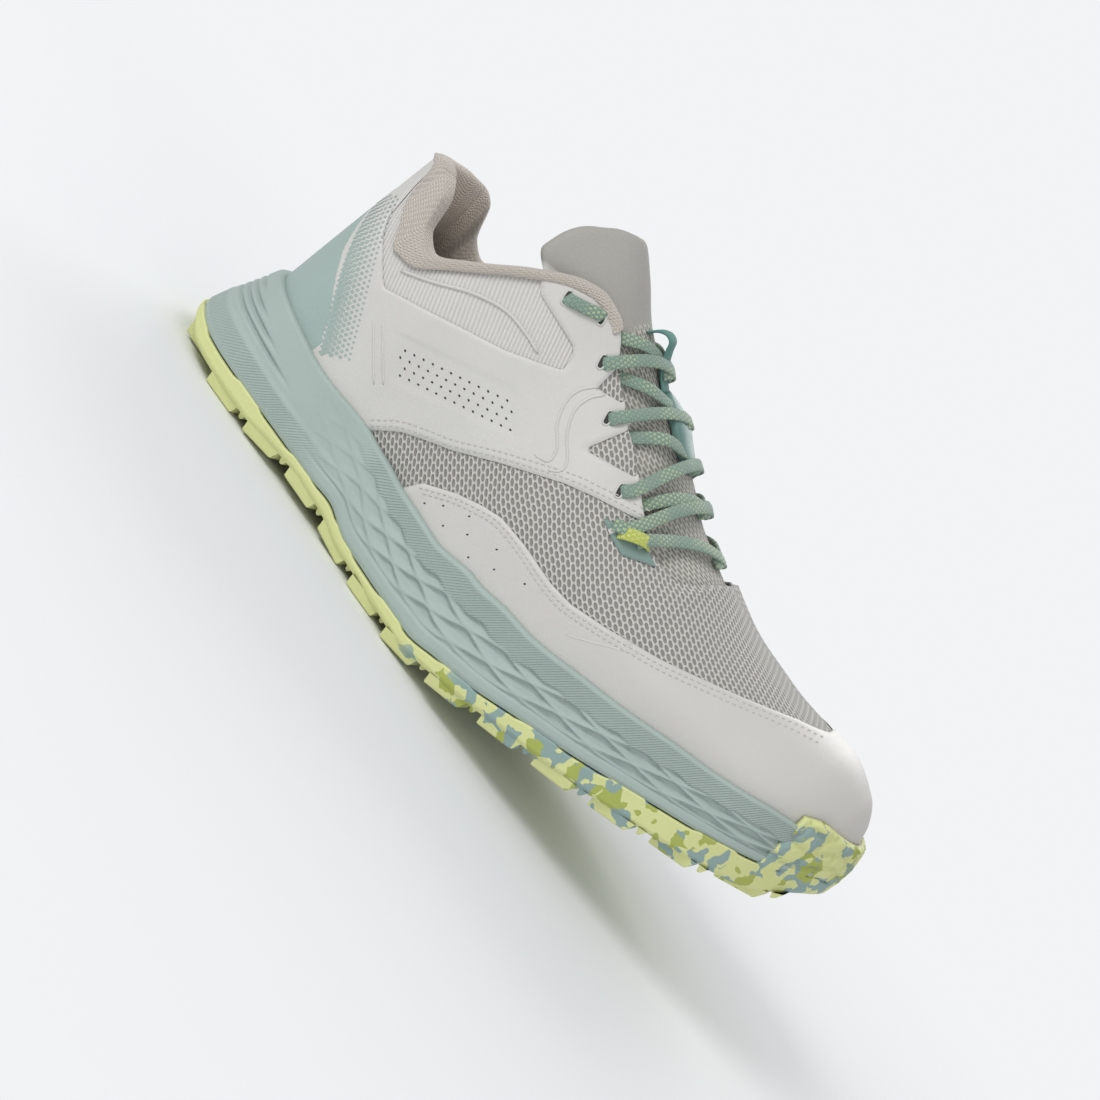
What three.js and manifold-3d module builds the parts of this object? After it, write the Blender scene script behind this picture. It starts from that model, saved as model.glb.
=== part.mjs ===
// Trail running shoe for the right foot, standing empty and unbent on its sole.
// Millimetres. X runs from the heel to the toe, Y to the inner side of the foot, Z up.
// The origin lies on the ground, under the middle of the flat spot of the heel.
import * as THREE from 'three';
import Module from 'manifold-3d';

// Driving sizes.
const LENGTH = 295;
const BALL_WIDTH = 105;
const HEEL_STACK = 30;
const TOE_SPRING = 45;
const INSTEP_HEIGHT = 83;
const COLLAR_HEIGHT = 70;
const HEEL_REST_FROM_BACK = 32;
const GAP = 0.3;
const FOOT_GAP = 0.5;
const WALL = 2;
const FILM = 1;
const RIM = 2;
const PAD = 7;
const CUP = 6;
const LUG = 3.4;
// Pitch of the rows of lugs, as a share of the length.
const LUG_PITCH = 21.5 / 295;
const BUMPER_TOP = 80.5;
const COLLAR_PAD = 6;
const COLLAR_GAP = 0.6;
const INNER_RISE = 3;
const INSOLE = 4;
const TONGUE = 5;
const TONGUE_PROUD = 2.8;
const LACE_WIDTH = 4.2;
const LACE = 1.2;
const SLOT = { length: 5, width: 2.4 };
const SIDE_STATIONS = 25;
const UPPER_ROWS = 7;

// A row of the sole for each share of the length: half width and middle line as shares of half the
// ball width, ground as a share of the toe spring, side wall and rubber edge as shares of the heel
// stack, and how far the top of the wall leans in, in millimetres.
const SOLE = table(['at', 'half', 'middle', 'ground', 'wall', 'rubber', 'lean'], [
  [0.00, 0.70, 0.00, 0.060, 1.16, 0.24, 10.0],
  [0.06, 0.74, 0.00, 0.000, 1.28, 0.31, 8.0],
  [0.16, 0.75, -0.01, 0.000, 1.17, 0.32, 5.5],
  [0.21, 0.74, -0.03, 0.045, 1.10, 0.26, 4.5],
  [0.265, 0.71, -0.05, 0.070, 1.09, 0.22, 4.5],
  [0.31, 0.71, -0.06, 0.060, 1.07, 0.27, 4.5],
  [0.36, 0.73, -0.05, 0.000, 1.11, 0.23, 4.5],
  [0.42, 0.80, -0.04, 0.000, 1.11, 0.24, 4.5],
  [0.485, 0.89, -0.02, 0.000, 1.25, 0.27, 5.0],
  [0.53, 0.94, -0.01, 0.070, 1.24, 0.29, 5.0],
  [0.58, 0.98, 0.00, 0.160, 1.18, 0.30, 5.0],
  [0.63, 1.00, 0.01, 0.270, 1.16, 0.33, 5.0],
  [0.69, 1.00, 0.02, 0.385, 1.16, 0.37, 5.0],
  [0.76, 0.97, 0.04, 0.530, 1.17, 0.42, 5.0],
  [0.82, 0.93, 0.06, 0.670, 1.14, 0.45, 4.5],
  [0.88, 0.90, 0.09, 0.810, 1.14, 0.47, 4.0],
  [0.94, 0.86, 0.12, 0.960, 1.06, 0.50, 4.0],
  [1.00, 0.80, 0.15, 1.230, 0.66, 0.36, 4.0],
]);

// A row of the upper for each share of the length: height of the ridge above the wall of the sole
// as a share of the instep height, how far the ridge lies inward of the middle line as a share of
// half the ball width, roundness of the section, and how far the side bulges, in millimetres.
const FORM = table(['at', 'ridge', 'inward', 'round', 'bulge'], [
  [0.00, 1.42, 0.00, 2.0, 0.5],
  [0.12, 1.42, 0.02, 2.1, 1.0],
  [0.20, 1.41, 0.05, 2.2, 1.5],
  [0.265, 1.345, 0.08, 2.25, 1.5],
  [0.30, 1.295, 0.10, 2.25, 1.5],
  [0.34, 1.225, 0.12, 2.2, 1.5],
  [0.41, 1.10, 0.14, 2.15, 1.5],
  [0.47, 0.985, 0.14, 2.1, 2.0],
  [0.525, 0.865, 0.14, 2.1, 2.0],
  [0.585, 0.74, 0.14, 2.05, 2.0],
  [0.645, 0.622, 0.13, 2.05, 2.0],
  [0.715, 0.49, 0.12, 2.05, 2.0],
  [0.79, 0.393, 0.10, 2.1, 1.5],
  [0.86, 0.33, 0.06, 2.1, 1.0],
  [0.91, 0.285, 0.03, 2.1, 0.5],
  [0.96, 0.20, 0.00, 2.1, 0.0],
  [0.985, 0.12, 0.00, 2.1, 0.0],
  [1.00, 0.05, 0.00, 2.0, 0.0],
]);

// Edge of the collar and of the throat: height above the wall of the sole, as a share of the
// height of the collar at its heel peak.
const EDGE = table(['at', 'height'], [
  [0.00, 0.97],
  [0.03, 0.985],
  [0.06, 0.975],
  [0.095, 0.92],
  [0.125, 0.76],
  [0.146, 0.73],
  [0.18, 0.85],
  [0.21, 0.97],
  [0.24, 1.085],
  [0.28, 1.235],
  [0.31, 1.285],
  [0.335, 1.28],
  [0.352, 1.245],
  [0.378, 1.155],
  [0.411, 1.085],
  [0.44, 1.005],
  [0.49, 0.875],
  [0.536, 0.74],
  [0.60, 0.63],
]);
const LAST_EDGE = 0.60;
const THROAT_END = 0.65;

// Turns rows of numbers into a smooth function of the first column that gives the others by name.
function table(columns, rows) {
  const slopes = columns.map((_, c) => rows.map((_, r) => slopeAt(rows, c, r)));
  return (at) => {
    const last = rows.length - 2;
    let r = 0;
    while (r < last && at > rows[r + 1][0]) r += 1;
    const width = rows[r + 1][0] - rows[r][0];
    const t = Math.min(1, Math.max(0, (at - rows[r][0]) / width));
    const row = {};
    columns.forEach((name, c) => {
      const a = rows[r][c];
      const b = rows[r + 1][c];
      const t2 = t * t;
      const t3 = t2 * t;
      row[name] = (2 * t3 - 3 * t2 + 1) * a + (3 * t2 - 2 * t3) * b
        + width * ((t3 - 2 * t2 + t) * slopes[c][r] + (t3 - t2) * slopes[c][r + 1]);
    });
    return row;
  };
}

// Slope at a row that keeps the curve from swinging past its rows.
function slopeAt(rows, c, r) {
  if (r === 0 || r === rows.length - 1) return 0;
  const before = (rows[r][c] - rows[r - 1][c]) / (rows[r][0] - rows[r - 1][0]);
  const after = (rows[r + 1][c] - rows[r][c]) / (rows[r + 1][0] - rows[r][0]);
  if (before * after <= 0) return 0;
  return 2 * before * after / (before + after);
}

const mix = (a, b, t) => a + (b - a) * t;
const clamp = (v, low, high) => Math.min(high, Math.max(low, v));
const ease = (low, high, v) => {
  const t = clamp((v - low) / (high - low), 0, 1);
  return t * t * (3 - 2 * t);
};
const along = (share) => share * LENGTH - HEEL_REST_FROM_BACK;
const shareAt = (x) => (x + HEEL_REST_FROM_BACK) / LENGTH;
const HALF_BALL = BALL_WIDTH / 2;

// The way round the shoe: 0 at the heel, 1 at the toe by the outer side, -1 by the inner side.
const shareOf = (way) => (1 - Math.cos(Math.PI * way)) / 2;
const wayOf = (share) => Math.acos(1 - 2 * clamp(share, 0, 1)) / Math.PI;

// Heel and toe round off the outline: nothing at the very end, full width a radius further in.
function roundOff(share) {
  const heel = clamp(share * LENGTH / (0.68 * HALF_BALL), 0, 1);
  const toe = clamp((1 - share) * LENGTH / (1.02 * HALF_BALL), 0, 1);
  const heelPart = Math.pow(Math.max(0, 1 - Math.pow(1 - heel, 2.1)), 1 / 2.1);
  const toePart = Math.pow(Math.max(0, 1 - Math.pow(1 - toe, 2.15)), 1 / 2.15);
  return heelPart * toePart;
}

// A point of the sole's widest outline, seen from above.
function outlinePoint(way) {
  const share = shareOf(Math.abs(way));
  const row = SOLE(share);
  const side = way >= 0 ? -1 : 1;
  return [along(share), HALF_BALL * (row.middle + side * row.half * roundOff(share))];
}

// The outline moved inward by a distance.
function outlineIn(way, distance) {
  const step = 0.004;
  const a = outlinePoint(way - step);
  const b = outlinePoint(way + step);
  const from = Math.abs(way) + step > 1 ? outlinePoint(wrap(way - step)) : a;
  const to = Math.abs(way) + step > 1 ? outlinePoint(wrap(way + step)) : b;
  const p = outlinePoint(way);
  const tx = to[0] - from[0];
  const ty = to[1] - from[1];
  const size = Math.hypot(tx, ty);
  return [p[0] - ty / size * distance, p[1] + tx / size * distance];
}
const wrap = (way) => (way > 1 ? way - 2 : way < -1 ? way + 2 : way);

const groundAt = (share) => SOLE(share).ground * TOE_SPRING;
const rubberTop = (share) => groundAt(share) + SOLE(share).rubber * HEEL_STACK;
const wallTop = (share) => groundAt(share) + SOLE(share).wall * HEEL_STACK;
const cupFloor = (share) => wallTop(share) - CUP;

// A point of the upper: way round the shoe, rise from 0 at its lower edge to 1 at the ridge.
function formPoint(way, rise) {
  const share = shareOf(Math.abs(way));
  const sole = SOLE(share);
  const form = FORM(share);
  const base = outlineIn(way, sole.lean + RIM + FOOT_GAP);
  const ridgeX = (base[0] + outlineIn(-way, sole.lean + RIM + FOOT_GAP)[0]) / 2;
  const middle = HALF_BALL * (sole.middle + form.inward);
  const low = cupFloor(shareAt(base[0])) + FOOT_GAP;
  const high = wallTop(shareAt(ridgeX)) + form.ridge * INSTEP_HEIGHT - low;
  const angle = rise * Math.PI / 2;
  const power = 2 / form.round;
  const across = Math.pow(Math.cos(angle), power);
  const swell = form.bulge * ease(0.05, 0.25, rise) * (1 - ease(0.45, 1, rise)) * roundOff(share);
  const side = way >= 0 ? -1 : 1;
  return new THREE.Vector3(
    mix(ridgeX, base[0], across),
    middle + (base[1] - middle) * across + side * swell,
    low + high * Math.pow(Math.sin(angle), power),
  );
}

// The way out from the surface, the same from both sides on the ridge.
function outward(way, rise) {
  if (rise > 0.9995 && way > 0) return outward(way, 0.999).add(outward(-way, 0.999)).normalize();
  if (rise > 0.9995) return outward(-way, 0.999).add(outward(way, 0.999)).normalize();
  const step = 0.004;
  const p = formPoint(way, rise);
  const alongWay = formPoint(wrap(way + step), rise).sub(formPoint(wrap(way - step), rise));
  const lower = Math.max(0.001, rise - step);
  const upper = Math.min(0.9999, rise + step);
  const up = formPoint(way, upper).sub(formPoint(way, lower));
  const normal = alongWay.cross(up);
  const share = shareOf(Math.abs(way));
  const heart = new THREE.Vector3(
    clamp(p.x, along(0.12), along(0.86)),
    HALF_BALL * SOLE(share).middle,
    wallTop(share) * 0.8 + p.z * 0.2,
  );
  if (normal.dot(p.clone().sub(heart)) < 0) normal.negate();
  return normal.normalize();
}

// A point of the surface moved out along it.
function skin(way, rise, out) {
  return formPoint(way, rise).addScaledVector(outward(way, rise), out);
}

// Rise at which the upper reaches a height above the wall of the sole.
function riseAt(share, height) {
  const form = FORM(share);
  const low = cupFloor(share) + FOOT_GAP;
  const high = wallTop(share) + form.ridge * INSTEP_HEIGHT - low;
  const part = clamp((wallTop(share) + height - low) / high, 0, 1);
  return Math.asin(Math.pow(part, form.round / 2)) * 2 / Math.PI;
}

// Rise of the edge of the collar and throat, with the rounded end of the throat. The collar is
// a little higher on the inner side of the foot.
function edgeRise(share, way = 1) {
  const higher = way < 0 ? INNER_RISE * ease(0.03, 0.1, share) * (1 - ease(0.2, 0.3, share)) : 0;
  const height = EDGE(Math.min(share, LAST_EDGE)).height * COLLAR_HEIGHT + higher;
  const open = riseAt(Math.min(share, LAST_EDGE), height);
  if (share >= THROAT_END) return 1;
  const t = clamp((share - LAST_EDGE) / (THROAT_END - LAST_EDGE), 0, 1);
  return mix(open, 1, 1 - Math.sqrt(1 - t * t));
}

const wasm = await Module();
wasm.setup();

// A closed mesh of triangles becomes a solid, with points closer than a micron made one.
function solidOf(triangles) {
  const index = new Map();
  const points = [];
  const faces = [];
  for (const triangle of triangles) {
    const ids = triangle.map((p) => {
      const key = [p.x, p.y, p.z].map((v) => Math.round(v * 500)).join(' ');
      if (!index.has(key)) {
        index.set(key, points.length / 3);
        points.push(p.x, p.y, p.z);
      }
      return index.get(key);
    });
    if (ids[0] !== ids[1] && ids[1] !== ids[2] && ids[2] !== ids[0]) faces.push(...ids);
  }
  const mesh = new wasm.Mesh({
    numProp: 3,
    vertProperties: new Float32Array(points),
    triVerts: new Uint32Array(faces),
  });
  const solid = new wasm.Manifold(mesh);
  return solid;
}

// A sheet of cells, each corner with an outer and an inner point, closed along its open edges.
function thickSheet(cells) {
  const index = new Map();
  const outer = [];
  const inner = [];
  const share = [];
  const idOf = (corner) => {
    const key = [corner.outer.x, corner.outer.y, corner.outer.z].map((v) => Math.round(v * 200)).join(' ');
    if (!index.has(key)) {
      index.set(key, outer.length);
      outer.push(corner.outer.clone());
      inner.push(corner.inner.clone());
      share.push(1);
      return outer.length - 1;
    }
    const id = index.get(key);
    inner[id].multiplyScalar(share[id]).add(corner.inner).divideScalar(share[id] + 1);
    share[id] += 1;
    return id;
  };
  const faces = [];
  for (const cell of cells) {
    const [a, b, c, d] = cell.map(idOf);
    for (const face of [[a, b, c], [a, c, d]]) {
      if (new Set(face).size === 3) faces.push(face);
    }
  }
  const edges = new Set(faces.flatMap(([a, b, c]) => [`${a} ${b}`, `${b} ${c}`, `${c} ${a}`]));
  const triangles = [];
  for (const [a, b, c] of faces) {
    triangles.push([outer[a], outer[b], outer[c]], [inner[a], inner[c], inner[b]]);
    for (const [from, to] of [[a, b], [b, c], [c, a]]) {
      if (edges.has(`${to} ${from}`)) continue;
      triangles.push([outer[to], outer[from], inner[from]], [outer[to], inner[from], inner[to]]);
    }
  }
  return solidOf(triangles);
}

// A piece of the upper's own surface between two rises, on one side or both, from out to in.
function onUpper({ sides, shares, low, high, out, inner, rows }) {
  const cells = [];
  for (const side of sides) {
    for (let i = 0; i + 1 < shares.length; i += 1) {
      const ways = [wayOf(shares[i]), wayOf(shares[i + 1])];
      for (let j = 0; j < rows; j += 1) {
        const corner = (way, part) => {
          const share = shareOf(way);
          const signed = side * way;
          const rise = mix(low(share, signed), high(share, signed), part);
          return { outer: skin(signed, rise, out), inner: skin(signed, rise, inner) };
        };
        const cell = [
          corner(ways[0], j / rows),
          corner(ways[1], j / rows),
          corner(ways[1], (j + 1) / rows),
          corner(ways[0], (j + 1) / rows),
        ];
        cells.push(side > 0 ? cell : cell.reverse());
      }
    }
  }
  return thickSheet(cells);
}

// Rings one above the other, each with the same number of points, closed below and above.
function ringStack(rings) {
  const triangles = [];
  const count = rings[0].length;
  const quad = (a, b, c, d) => triangles.push([a, b, c], [a, c, d]);
  for (let r = 0; r + 1 < rings.length; r += 1) {
    for (let i = 0; i < count; i += 1) {
      const k = (i + 1) % count;
      quad(rings[r][i], rings[r][k], rings[r + 1][k], rings[r + 1][i]);
    }
  }
  const half = count / 2;
  const first = rings[0];
  const last = rings[rings.length - 1];
  for (let i = 0; i < half; i += 1) {
    const other = (n) => (count - n) % count;
    quad(first[i], first[other(i)], first[other(i + 1)], first[i + 1]);
    quad(last[i], last[i + 1], last[other(i + 1)], last[other(i)]);
  }
  return solidOf(triangles);
}

// One ring round the sole: how far in and how high at each share of the length.
function ring(inward, height) {
  const points = [];
  for (let i = 0; i < 2 * SIDE_STATIONS; i += 1) {
    const way = wrap(i / SIDE_STATIONS);
    const share = shareOf(Math.abs(way));
    const p = outlineIn(way, inward(share));
    points.push(new THREE.Vector3(p[0], p[1], height(shareAt(p[0]))));
  }
  return points;
}

// Four ribs run round the heel and fade out along the side.
const ribs = (share, rise) => 1.6 * (1 - ease(0.02, 0.15, share)) * rise;

function midsole() {
  const bottom = (share) => rubberTop(share) + GAP;
  const level = (part) => (share) => mix(bottom(share), wallTop(share), part);
  const leanPart = (part) => (share) => SOLE(share).lean * part;
  const steps = [
    [0, 0.8, 0],
    [0.07, 0.1, 0],
    [0.34, 0.35, 0],
    [0.40, 1.0, 1],
    [0.52, 1.2, 0],
    [0.60, 1.6, 1],
    [0.76, 2.0, 0],
  ];
  const rings = steps.map(([part, inset, groove]) => ring(
    (share) => inset + ribs(share, groove) + Math.max(0, SOLE(share).lean - 4) * part,
    level(part),
  ));
  rings.push(ring(leanPart(1), (share) => wallTop(share) - 0.6));
  rings.push(ring((share) => SOLE(share).lean + 0.6, wallTop));
  rings.push(ring((share) => SOLE(share).lean + RIM, wallTop));
  rings.push(ring((share) => SOLE(share).lean + RIM, cupFloor));
  return ringStack(rings).subtract(bumper(GAP));
}

function insole() {
  const inset = (more) => (share) => SOLE(share).lean + RIM + WALL + 3 * GAP + more;
  const floor = (share) => cupFloor(share) + GAP;
  const thick = (part) => (share) => floor(share) + INSOLE * part;
  return ringStack([
    ring(inset(0.6), floor),
    ring(inset(0.1), thick(0.3)),
    ring(inset(0.1), thick(0.8)),
    ring(inset(0.9), thick(1)),
  ]);
}

// A lug of rubber: a block with sloping sides that follows the ground line of the sole.
function lug(x0, x1, y0, y1, slant) {
  const corner = (x, y, z) => new THREE.Vector3(x, y, z);
  const groundX = (x) => groundAt(shareAt(x));
  const low = [];
  const high = [];
  for (const [x, y] of [[x0, y0], [x1, y0], [x1, y1], [x0, y1]]) {
    const shift = y === y1 ? slant : 0;
    const inX = (x === x0 ? 1 : -1) * 0.8;
    const inY = (y === y0 ? 1 : -1) * Math.sign(y1 - y0) * 0.5;
    low.push(corner(x + shift + inX, y + inY, groundX(x + shift + inX)));
    high.push(corner(x + shift, y, groundX(x + shift) + LUG + 0.8));
  }
  const triangles = [];
  const quad = (a, b, c, d) => triangles.push([a, b, c], [a, c, d]);
  const order = y1 > y0 ? [0, 1, 2, 3] : [3, 2, 1, 0];
  const l = order.map((i) => low[i]);
  const h = order.map((i) => high[i]);
  quad(l[3], l[2], l[1], l[0]);
  quad(h[0], h[1], h[2], h[3]);
  for (let i = 0; i < 4; i += 1) quad(l[i], l[(i + 1) % 4], h[(i + 1) % 4], h[i]);
  return solidOf(triangles);
}

// Middles of the two flat spots that the shoe stands on, as shares of the length.
const RESTS = [HEEL_REST_FROM_BACK / LENGTH, 0.4225];

function outsole() {
  const tread = (share) => groundAt(share) + LUG;
  let body = ringStack([
    ring(() => 2.2, tread),
    ring(() => 0.7, (share) => tread(share) + 0.5),
    ring(() => 0, (share) => tread(share) + 1.6),
    ring(() => 0.2, rubberTop),
  ]);
  const pitch = LUG_PITCH;
  for (let k = 0; k < 13; k += 1) {
    const share = 0.03 + k * pitch;
    const middle = share + 0.36 * pitch;
    const x0 = along(share);
    const x1 = along(share + 0.72 * pitch);
    const row = SOLE(middle);
    const fill = Math.min(roundOff(share), roundOff(share + 0.72 * pitch));
    const centre = HALF_BALL * row.middle;
    const edge = HALF_BALL * row.half * fill - 1.4;
    const deep = Math.min(0.34 * edge, 14);
    body = body.add(lug(x0, x1, centre - edge, centre - edge + deep, 1.5));
    body = body.add(lug(x0, x1, centre + edge, centre + edge - deep, 1.5));
    const inArch = share > 0.17 && share < 0.33;
    if (k > 0 && !inArch && k < 12 && (k < 3 || k % 2 === 0)) {
      const wing = edge - deep - 4.5;
      body = body.add(lug(x0 + 3, x1 + 3, centre - wing, centre - 1.2, 5));
      body = body.add(lug(x0 + 3, x1 + 3, centre + wing, centre + 1.2, 5));
    }
  }
  for (const share of RESTS) {
    const x = along(share);
    body = body.add(lug(x - PAD, x + PAD, -PAD, PAD, 0));
  }
  return body.add(bumper(0));
}

// The rubber climbs the front of the toe, close outside the sole's wall and the upper. Room is
// the clearance round it, for the larger form that makes its place in the midsole.
function bumper(room) {
  const cells = [];
  const start = 0.925 - room / LENGTH;
  const count = 16;
  const rise = (share) => ease(start - 0.005, start + 0.03, share);
  const topAt = (share) => mix(wallTop(share) + 3, BUMPER_TOP, rise(share));
  const layers = [
    { z: (share) => rubberTop(share) - 1.2, out: 0.4, inner: 2.6 },
    { z: (share) => mix(rubberTop(share), wallTop(share), 0.45), out: 0.2, inner: 2.6 },
    { z: (share) => wallTop(share) + 0.5, out: 1.4, inner: 4 },
    { z: topAt, out: 3.6, inner: 6.1 },
  ];
  const ways = [];
  for (let i = 0; i <= count; i += 1) ways.push(wrap(wayOf(start) + (2 - 2 * wayOf(start)) * i / count));
  const corner = (way, layer) => {
    const outer = outlineIn(way, layer.out - 8 * room);
    const inner = outlineIn(way, layer.inner + room);
    return {
      outer: new THREE.Vector3(outer[0], outer[1], layer.z(shareAt(outer[0]))),
      inner: new THREE.Vector3(inner[0], inner[1], layer.z(shareAt(inner[0]))),
    };
  };
  for (let i = 0; i < count; i += 1) {
    for (let j = 0; j + 1 < layers.length; j += 1) {
      cells.push([
        corner(ways[i], layers[j]),
        corner(ways[i + 1], layers[j]),
        corner(ways[i + 1], layers[j + 1]),
        corner(ways[i], layers[j + 1]),
      ]);
    }
  }
  return thickSheet(cells);
}

// Shares of the length from one to another: the stations of the sole's rings, the two ends and
// any others that an edge needs.
function stations(from, to, others = []) {
  const shares = [from, to, ...others];
  for (let k = 0; k <= SIDE_STATIONS; k += 1) {
    const share = shareOf(k / SIDE_STATIONS);
    const clear = shares.every((other) => Math.abs(other - share) > 0.0035 || share < 0.01);
    if (share > from && share < to && (clear || share > 0.99)) shares.push(share);
  }
  return [...new Set(shares)].sort((p, q) => p - q);
}

// The whole upper as a shell between two distances from its surface.
function shell(out, inner) {
  return onUpper({
    sides: [1, -1],
    shares: stations(0, 1, [LAST_EDGE, 0.62, 0.638, 0.6465, THROAT_END]),
    low: () => 0,
    high: edgeRise,
    out,
    inner,
    rows: UPPER_ROWS,
  });
}

const upper = () => shell(0, -WALL);

// All that lies inside an outline as seen from the side, for cutting a film out of a shell.
function sideCut(outline) {
  const corners = outline.map(([share, height]) => new THREE.Vector2(along(share), height));
  const geometry = new THREE.ExtrudeGeometry(new THREE.Shape(corners), { depth: 2 * BALL_WIDTH, bevelEnabled: false });
  geometry.rotateX(Math.PI / 2);
  geometry.translate(0, BALL_WIDTH, 0);
  return solidOf(trianglesOf(geometry));
}

function trianglesOf(geometry) {
  const position = geometry.getAttribute('position');
  const index = geometry.getIndex();
  const count = index ? index.count : position.count;
  const triangles = [];
  for (let i = 0; i < count; i += 3) {
    const ids = [0, 1, 2].map((k) => (index ? index.getX(i + k) : i + k));
    triangles.push(ids.map((id) => new THREE.Vector3().fromBufferAttribute(position, id)));
  }
  return triangles;
}

const film = (outline) => shell(GAP + FILM, GAP).intersect(sideCut(outline)).intersect(overSole());

// Rise that lies a distance up along the surface from a given rise.
function riseBy(way, rise, distance) {
  const a = formPoint(way, Math.max(0, rise - 0.01));
  const b = formPoint(way, Math.min(1, rise + 0.01));
  const span = Math.min(1, rise + 0.01) - Math.max(0, rise - 0.01);
  return clamp(rise + distance * span / a.distanceTo(b), 0, 1);
}

// A closed outline swept along a row of places.
function sweep(sections) {
  const triangles = [];
  const count = sections[0].length;
  const quad = (a, b, c, d) => triangles.push([a, b, c], [a, c, d]);
  for (let i = 0; i + 1 < sections.length; i += 1) {
    for (let k = 0; k < count; k += 1) {
      const n = (k + 1) % count;
      quad(sections[i][k], sections[i][n], sections[i + 1][n], sections[i + 1][k]);
    }
  }
  const first = sections[0];
  const last = sections[sections.length - 1];
  for (const [a, b, c] of endFaces(first)) triangles.push([first[c], first[b], first[a]]);
  for (const [a, b, c] of endFaces(last)) triangles.push([last[a], last[b], last[c]]);
  return solidOf(triangles);
}

// Triangles that close an outline whose points are counted from its two sides inward.
function endFaces(outline) {
  const origin = outline[0];
  const u = outline[1].clone().sub(origin).normalize();
  const spans = outline.map((p) => p.clone().sub(origin));
  const far = spans.reduce((best, v) => (v.clone().cross(u).length() > best.clone().cross(u).length() ? v : best));
  const n = u.clone().cross(far).normalize();
  const v = n.clone().cross(u);
  const flat = spans.map((p) => new THREE.Vector2(p.dot(u), p.dot(v)));
  const clockwise = THREE.ShapeUtils.area(flat) < 0;
  const faces = THREE.ShapeUtils.triangulateShape(flat, []);
  return clockwise ? faces.map(([a, b, c]) => [c, b, a]) : faces;
}

// The padded knit collar: a lining pad inside, rolled over the edge and lapped on the outside.
function lapAt(share) {
  return 1.2 + 5.6 * ease(0.04, 0.09, share) * (1 - ease(0.125, 0.22, share));
}

function collar() {
  const sections = [];
  const shares = stations(0, 0.34);
  const ways = [...shares.slice(1).reverse().map((s) => wayOf(s)), ...shares.map((s) => -wayOf(s))];
  for (const way of ways) {
    const share = shareOf(Math.abs(way));
    const pad = 1 - ease(0.14, 0.24, share);
    const edge = edgeRise(share, way);
    const depth = 3 + 25 * pad;
    const face = WALL + COLLAR_GAP;
    const thick = 0.7 + COLLAR_PAD * pad;
    const outline = [
      [-face, -depth],
      [-face, COLLAR_GAP],
      [COLLAR_GAP, COLLAR_GAP],
      [COLLAR_GAP, -lapAt(share)],
      [COLLAR_GAP + 1, -lapAt(share)],
      [2.1, 0.5],
      [0.2, 2 + 0.6 * pad],
      [-face - 0.5 * thick + 0.4, 2.2 + 0.6 * pad],
      [-face - thick, -1.5],
      [-face - thick, -0.55 * depth],
      [-face - 0.6, -depth + 0.8],
    ];
    sections.push(outline.map(([out, up]) => skin(way, riseBy(way, edge, up), out)));
  }
  return sweep(sections);
}

function tongue() {
  const end = (rise) => 0.257 + 0.012 * Math.pow(clamp((1 - rise) / 0.5, 0, 1), 2);
  const low = (share) => Math.min(edgeRise(clamp(share, 0.335, 0.56)) - 0.1, 0.48 + 0.9 * (share - 0.2));
  const front = 0.675;
  const columns = 14;
  const rows = 5;
  const cells = [];
  const corner = (side, i, j) => {
    const guess = mix(0.22, front, i / columns);
    const rise = mix(low(guess), 1, j / rows);
    const share = mix(end(rise), front, i / columns);
    const proud = TONGUE_PROUD * (1 - ease(0.27, 0.38, share)) * ease(0.62, 0.9, rise);
    const out = proud - (WALL + 2 * GAP + 1.5);
    const inner = out - TONGUE * (share > 0.6 ? 0.5 : 1);
    const way = side * wayOf(share);
    return { outer: skin(way, rise, out), inner: skin(way, rise, inner) };
  };
  for (const side of [1, -1]) {
    for (let i = 0; i < columns; i += 1) {
      for (let j = 0; j < rows; j += 1) {
        const cell = [corner(side, i, j), corner(side, i + 1, j), corner(side, i + 1, j + 1), corner(side, i, j + 1)];
        cells.push(side > 0 ? cell : cell.reverse());
      }
    }
  }
  return thickSheet(cells);
}

// Outline of the quarter film from the side, as share of the length and height above the ground.
// It wraps the heel, leaves room for the ribbed panel and ends forward in three petals.
const OPEN = 150;
const QUARTER = [
  [-0.1, 20], [0.262, 20], [0.269, 35.5], [0.281, 39.8], [0.293, 43.8], [0.3185, 49.2], [0.3455, 54.2],
  [0.393, 65.6], [0.456, 79.2], [0.488, 84.5], [0.54, 91.9], [0.545, OPEN], [0.4946, OPEN], [0.4946, 98],
  [0.467, 94.6], [0.437, 90.6], [0.446, 104], [0.446, OPEN], [0.4164, OPEN], [0.4164, 108.6], [0.388, 105.3],
  [0.3815, 113.8], [0.3815, OPEN], [0.235, OPEN], [0.2502, 112], [0.2657, 109.2], [0.306, 108.2],
  [0.3335, 107.4], [0.3445, 105], [0.3485, 99.9], [0.3277, 95.6], [0.2924, 88.9], [0.2287, 79.7],
  [0.1583, 69.6], [0.1485, 68.1], [0.1375, 69.5], [0.0937, 78.2], [0.0779, 82.7], [0.0598, 88.1], [-0.1, 90],
];

// Outline of the toe guard from the side.
const GUARD = [
  [0.325, 20], [0.9285, 20], [0.93, BUMPER_TOP + 0.8], [1.1, BUMPER_TOP + 0.8], [1.1, OPEN], [0.87, OPEN],
  [0.855, 96], [0.822, 92.3], [0.786, 87.1], [0.735, 79.6], [0.682, 71.8], [0.651, 67.9], [0.619, 63.9],
  [0.572, 58.6], [0.539, 57.1], [0.486, 57], [0.445, 55.7], [0.418, 52.2], [0.389, 47.3], [0.356, 39.8],
];

// Outline of the patch at the foot of the throat.
const PATCH = [[0.514, 82.8], [0.539, 81.2], [0.56, 80.7], [0.593, 87], [0.5444, 88.7]];

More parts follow.
